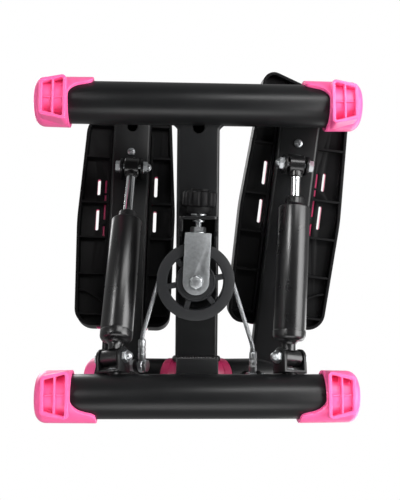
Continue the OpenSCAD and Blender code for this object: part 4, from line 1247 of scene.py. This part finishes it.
def makeMat(name, body, place):
    bm = lofted(pedalRings(pedal["matRings"]), place)
    addRounded(bm, pedal["lipMiddle"], pedal["lipHalf"], pedal["lipRound"], pedal["cornerSteps"],
               *pedal["lipZ"], place)
    cutter = bmesh.new()
    addSlots(cutter, pedal["matCut"], place)
    makePiece(name + "PedalMat", bm, body, "pink_mat", (name + "_pedal_mat",), cutter=cutter)
    bm = bmesh.new()
    for y0, y1 in pedal["tabs"]:
        addRounded(bm, (pedal["tabX"], (y0 + y1) / 2), (pedal["tabHalf"], (y1 - y0) / 2),
                   pedal["tabRound"], pedal["tabSteps"], *pedal["tabZ"], place)
    # the tabs take the deeper pink, which paints the shade of their recess into the colour
    makePiece(name + "MatTabs", bm, body, "pink_mat", (name + "_pedal_mat",), material=paintedShadePink)
    ridges = []
    y = pedal["ridgeFrom"]
    while y < pedal["ridgeTo"]:
        for x0, x1 in clearSpans(*pedalSpan(y, pedal["ridgeInset"]), y):
            ridges.append(sized(place @ move((x0 + x1) / 2, y, pedal["ridgeZ"]), x1 - x0, *pedal["ridge"]))
        y += pedal["ridgeStep"]
    setOut(name + "MatRidges", ridges, blockPattern(pedal["ridgeEdge"]), body, "pink_mat")


def makePedalScrews(name, body, place):
    bm, cutter = bmesh.new(), bmesh.new()
    cross = [(turn(90 * k, "Z") @ Vector((x, y, 0))).to_2d() for k in range(4) for x, y in pedal["recess"]]
    for y in pedal["screwYs"]:
        at = place @ move(0, y, pedal["screwZ"]) @ turn(180, "X")
        addLathe(bm, pedal["screw"], at, facets["bolt"])
        addPlate(cutter, cross, *pedal["recessZ"], at @ turn(pedal["screwTurn"], "Z"))
    makePiece(name + "PedalScrews", bm, body, "zinc_steel", (name + "_pedal_screws",), cutter=cutter)


for side in (1, -1):
    for make in (makeTray, makeMat, makePedalScrews):
        make(sideName[side], sideName[side] + "_arm", armFrame(side))
print("pedals made")


# Pulley, its fork, and the knob and bolt that pull the fork along
pulley = {
    "rim": [(32.5, -6.2), (33.4, -7.2), (44.2, -7.2), (45, -6.9), (45, -6.2)]
    + arcProfile(42.5, 0, 4.5, 270, 90, 14) + [(45, 6.2), (45, 6.9), (44.2, 7.2), (33.4, 7.2), (32.5, 6.2)],
    "hub": [(7.05, -7.7), (15.5, -7.7), (16.3, -6.9), (20.4, -6.9), (21.2, -7.7), (22.2, -7.7), (23, -6.9),
            (23, 6.9), (22.2, 7.7), (7.05, 7.7)],
    "spokes": 6, "first": 47.0, "spoke": (12.6, 6.0, 11.4), "spokeAt": 27.8, "spokeEdge": 1.2,
    "legOut": 11.5, "axlePast": 3.0, "axleWasherR": 8.5, "axleHead": 5.0, "axleNut": 4.0,
    "forkY": -56.5, "forkWasherR": 9.0, "forkNutWide": 16.0, "forkNutTall": 5.7,
}


def makePulley():
    bm = turned(pulley["rim"], pulleyFrame, facets["rim"], True)
    addLathe(bm, pulley["hub"], pulleyFrame, facets["large"], True)
    makePiece("pulleyWheel", bm, "pulley", "black_plastic", ("pulley_wheel",), material=mouldedGrey)
    spokes = []
    for k in range(pulley["spokes"]):
        frameAt = pulleyFrame @ turn(pulley["first"] + 360 * k / pulley["spokes"], "Z")
        spokes.append(sized(frameAt @ move(pulley["spokeAt"], 0, 0), *pulley["spoke"]))
    setOut("pulleySpokes", spokes, blockPattern(pulley["spokeEdge"]), "pulley", "black_plastic",
           material=mouldedGrey)
    softenNode("pulley_fork", "pulley_fork", "zinc_steel", edges["fork"], 3)
    out, forkY, thick = pulley["legOut"], pulley["forkY"], joint["washerThick"]
    end = out + pulley["axlePast"]
    bm = turned(barProfile(joint["boltR"], -end, end), pulleyFrame, facets["bolt"])
    washer(bm, pulleyFrame, (0, 0, -out), (0, 0, -1), pulley["axleWasherR"], thick)
    washer(bm, pulleyFrame, (0, forkY, 0), (0, -1, 0), pulley["forkWasherR"], thick)
    makePiece("pulleyAxle", bm, "pulley_fork", "zinc_steel", ("pulley_axle",))
    hexes = [hexAt(pulleyFrame, (0, 0, -out - thick), (0, 0, -1), pulley["axleHead"]),
             hexAt(pulleyFrame, (0, 0, out), (0, 0, 1), pulley["axleNut"])]
    setOut("pulleyAxleHexes", hexes, hexPattern(), "pulley_fork", "zinc_steel")
    nut = hexAt(pulleyFrame, (0, forkY - thick, 0), (0, -1, 0), pulley["forkNutTall"], pulley["forkNutWide"])
    setOut("forkNut", [nut], hexPattern(), "pulley_fork", "zinc_steel", ("fork_nut",))


knob = {
    "lobes": 12, "groove": 2.3, "sharpness": 4, "columns": 192, "sharp": 45.0,
    "stations": [(10.0, -107.0, 0), (10.6, -106.5, 0), (10.6, -104.6, 0), (17.2, -104.4, 0.6),
                 (19.0, -103.6, 0.9), (20.0, -102.2, 1), (20.0, -88.6, 1), (19.2, -87.2, 0.9),
                 (16.4, -86.4, 0.4), (14.4, -86.2, 0), (13.6, -79.0, 0),
                 (13.0, -78.5, 0)],  # radius, place, share of the grooves' depth
    "root": 3.45, "pitch": 1.25, "boltFrom": -99.0, "threadFrom": -69.0, "boltTo": -49.0,
    "thread": [(3.45, 0.1), (4.0, 0.55), (4.0, 0.7), (3.45, 1.15)], "tip": [(3.45, 0), (3.0, 0.6), (1, 0.6)],
    "collars": [(9.0, -78.5, -76.3), (7.0, -71.2, -69.0)], "collarEdge": 0.4,
}


def makeKnob():
    place = pulleyFrame @ turn(-90, "X")
    rings = []
    for radius, z, depth in knob["stations"]:
        ring = []
        for k in range(knob["columns"]):
            a = math.tau * k / knob["columns"]
            notch = (0.5 + 0.5 * math.cos(knob["lobes"] * a)) ** knob["sharpness"]
            r = radius - depth * knob["groove"] * notch
            ring.append(Vector((r * math.cos(a), r * math.sin(a), z)))
        rings.append(ring)
    makePiece("adjustKnob", lofted(rings, place), "knob", "black_plastic", ("adjust_knob",),
              sharp=knob["sharp"])
    z, root = knob["threadFrom"], knob["root"]
    profile = [(1, knob["boltFrom"]), (root, knob["boltFrom"]), (root, z)]
    while z < knob["boltTo"] - knob["pitch"]:
        profile += [(r, z + step) for r, step in knob["thread"]]
        z += knob["pitch"]
    bm = turned(profile + [(r, z + step) for r, step in knob["tip"]], place, facets["thread"])
    for radius, low, high in knob["collars"]:
        addLathe(bm, ringProfile(1, radius, low, high, knob["collarEdge"]), place, facets["bolt"])
    makePiece("adjustBolt", bm, "knob", "zinc_steel", ("adjust_bolt",))


makePulley()
makeKnob()
print("pulley and knob made")


# Wire rope: laid strands round the pulley and back to a pressed eye and ferrule on each lug
rope = {
    "strands": 6, "ring": 1.7, "strand": 0.92, "sides": 10, "pitch": 16.0, "step": 1.3, "grooveR": 41.0,
    "eye": [(4.05, -3.0), (6.8, -3.0), (7.7, -2.4), (8.0, -1.2), (8.0, 1.2), (7.7, 2.4), (6.8, 3.0),
            (4.05, 3.0)],
    # two rings are pressed into the ferrule
    "ferrule": [(2.7, 6.5), (3.9, 6.5), (4.5, 8.0), (4.5, 15.1), (4.1, 15.7), (4.1, 17.7), (4.5, 18.3),
                (4.5, 21.475), (4.1, 22.075), (4.1, 24.075), (4.5, 24.675), (4.5, 30.6), (3.7, 32.0),
                (2.7, 32.0)],
    "start": 14.0, "tip": 32.0, "bend": 36.0,  # mm from the eye's middle
    "bendReach": 9.0, "bendSteps": 8, "lead": 32.0, "leadSteps": 8, "roundSteps": 90,
}


def eyeFrame(side):
    return hubFrame(side, swingOf(side)) @ move(*joint["lugAt"], joint["lugFrom"] - joint["eyeThick"] / 2)


# A ferrule points straight to the front, and rises or falls towards the pulley
def ferruleWay(side):
    way = pulleyFrame.translation - eyeFrame(side).translation
    return Vector((0, way.y, way.z)).normalized()


# A place in the pulley's groove, by its angle from straight sideways, positive to the rear
def groovePoint(angle, side=1):
    return pulleyFrame @ (Vector((side * math.cos(angle), math.sin(angle), 0)) * rope["grooveR"])


# The angle at which the run from a bend leaves the groove
def leaveAngle(bend):
    q = pulleyFrame.inverted() @ bend
    return math.atan2(q.y, abs(q.x)) - math.acos(rope["grooveR"] / q.to_2d().length)


def layRope(name, points):
    mesh = bpy.data.meshes.new(name)
    mesh.from_pydata([p / 1000 for p in points], [(k, k + 1) for k in range(len(points) - 1)], [])
    piece = bpy.data.objects.new(name, mesh)
    runGroup(piece, ropeLayTree, {
        "Strands": rope["strands"], "Ring": rope["ring"] / 1000, "Strand": rope["strand"] / 1000,
        "Sides": rope["sides"], "Turn": math.tau * perMetre(rope["pitch"]), "Step": rope["step"] / 1000,
        "Finish": wireRope})
    shade(piece.data, edges["roundSharp"])
    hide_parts("steel_cable")
    return piece


# A rounded corner of a path, from a reach before it to a reach past it
def roundedBend(before, corner, after):
    reach, steps = rope["bendReach"], rope["bendSteps"]
    start = corner + (before - corner).normalized() * reach
    end = corner + (after - corner).normalized() * reach
    return [start.lerp(corner, t).lerp(corner.lerp(end, t), t) for t in (k / steps for k in range(steps + 1))]


def makeRope():
    angles = {}
    for side in (1, -1):
        name, eye, way = sideName[side], eyeFrame(side).translation, ferruleWay(side)
        bend = eye + way * rope["bend"]
        angles[side] = leaveAngle(bend)
        leave = groovePoint(angles[side], side)
        # the first stretch past the groove is laid as one piece, and the rest of the run as another
        lead = leave + (bend - leave).normalized() * rope["lead"]
        steps = rope["leadSteps"]
        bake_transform(layRope(name + "RopeLead", [leave.lerp(lead, k / steps) for k in range(steps + 1)]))
        inside, tip = eye + way * rope["start"], eye + way * rope["tip"]
        path = [lead] + roundedBend(leave, bend, eye) + [inside]
        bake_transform(layRope(name + "RopeRun", path))
        bm = turned(rope["eye"], eyeFrame(side), looped=True)
        addLathe(bm, rope["ferrule"], aimFrame(eye, way, Vector((0, 0, 1))), facets["bolt"], True)
        makePiece(name + "RopeEnd", bm, name + "_arm", "wire_rope", ("steel_cable",))
    first, last, steps = angles[1], -math.pi - angles[-1], rope["roundSteps"]
    arc = [groovePoint(first + (last - first) * k / steps) for k in range(steps + 1)]
    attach(layRope("ropeRound", arc), "pulley_fork")


makeRope()
print("rope laid")


# Every CAD node that stays in view gets its finish; its slot is the record's
keptNodes = {
    "left_stub_axle": "zinc_steel", "right_stub_axle": "zinc_steel",
    "left_piston": "zinc_steel", "right_piston": "zinc_steel",
    "pulley_bush": "bronze_bush",
}
for node, slot in keptNodes.items():
    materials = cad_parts[node].data.materials
    materials.clear()
    materials.append(slotFinish[slot])
print("kept nodes painted")
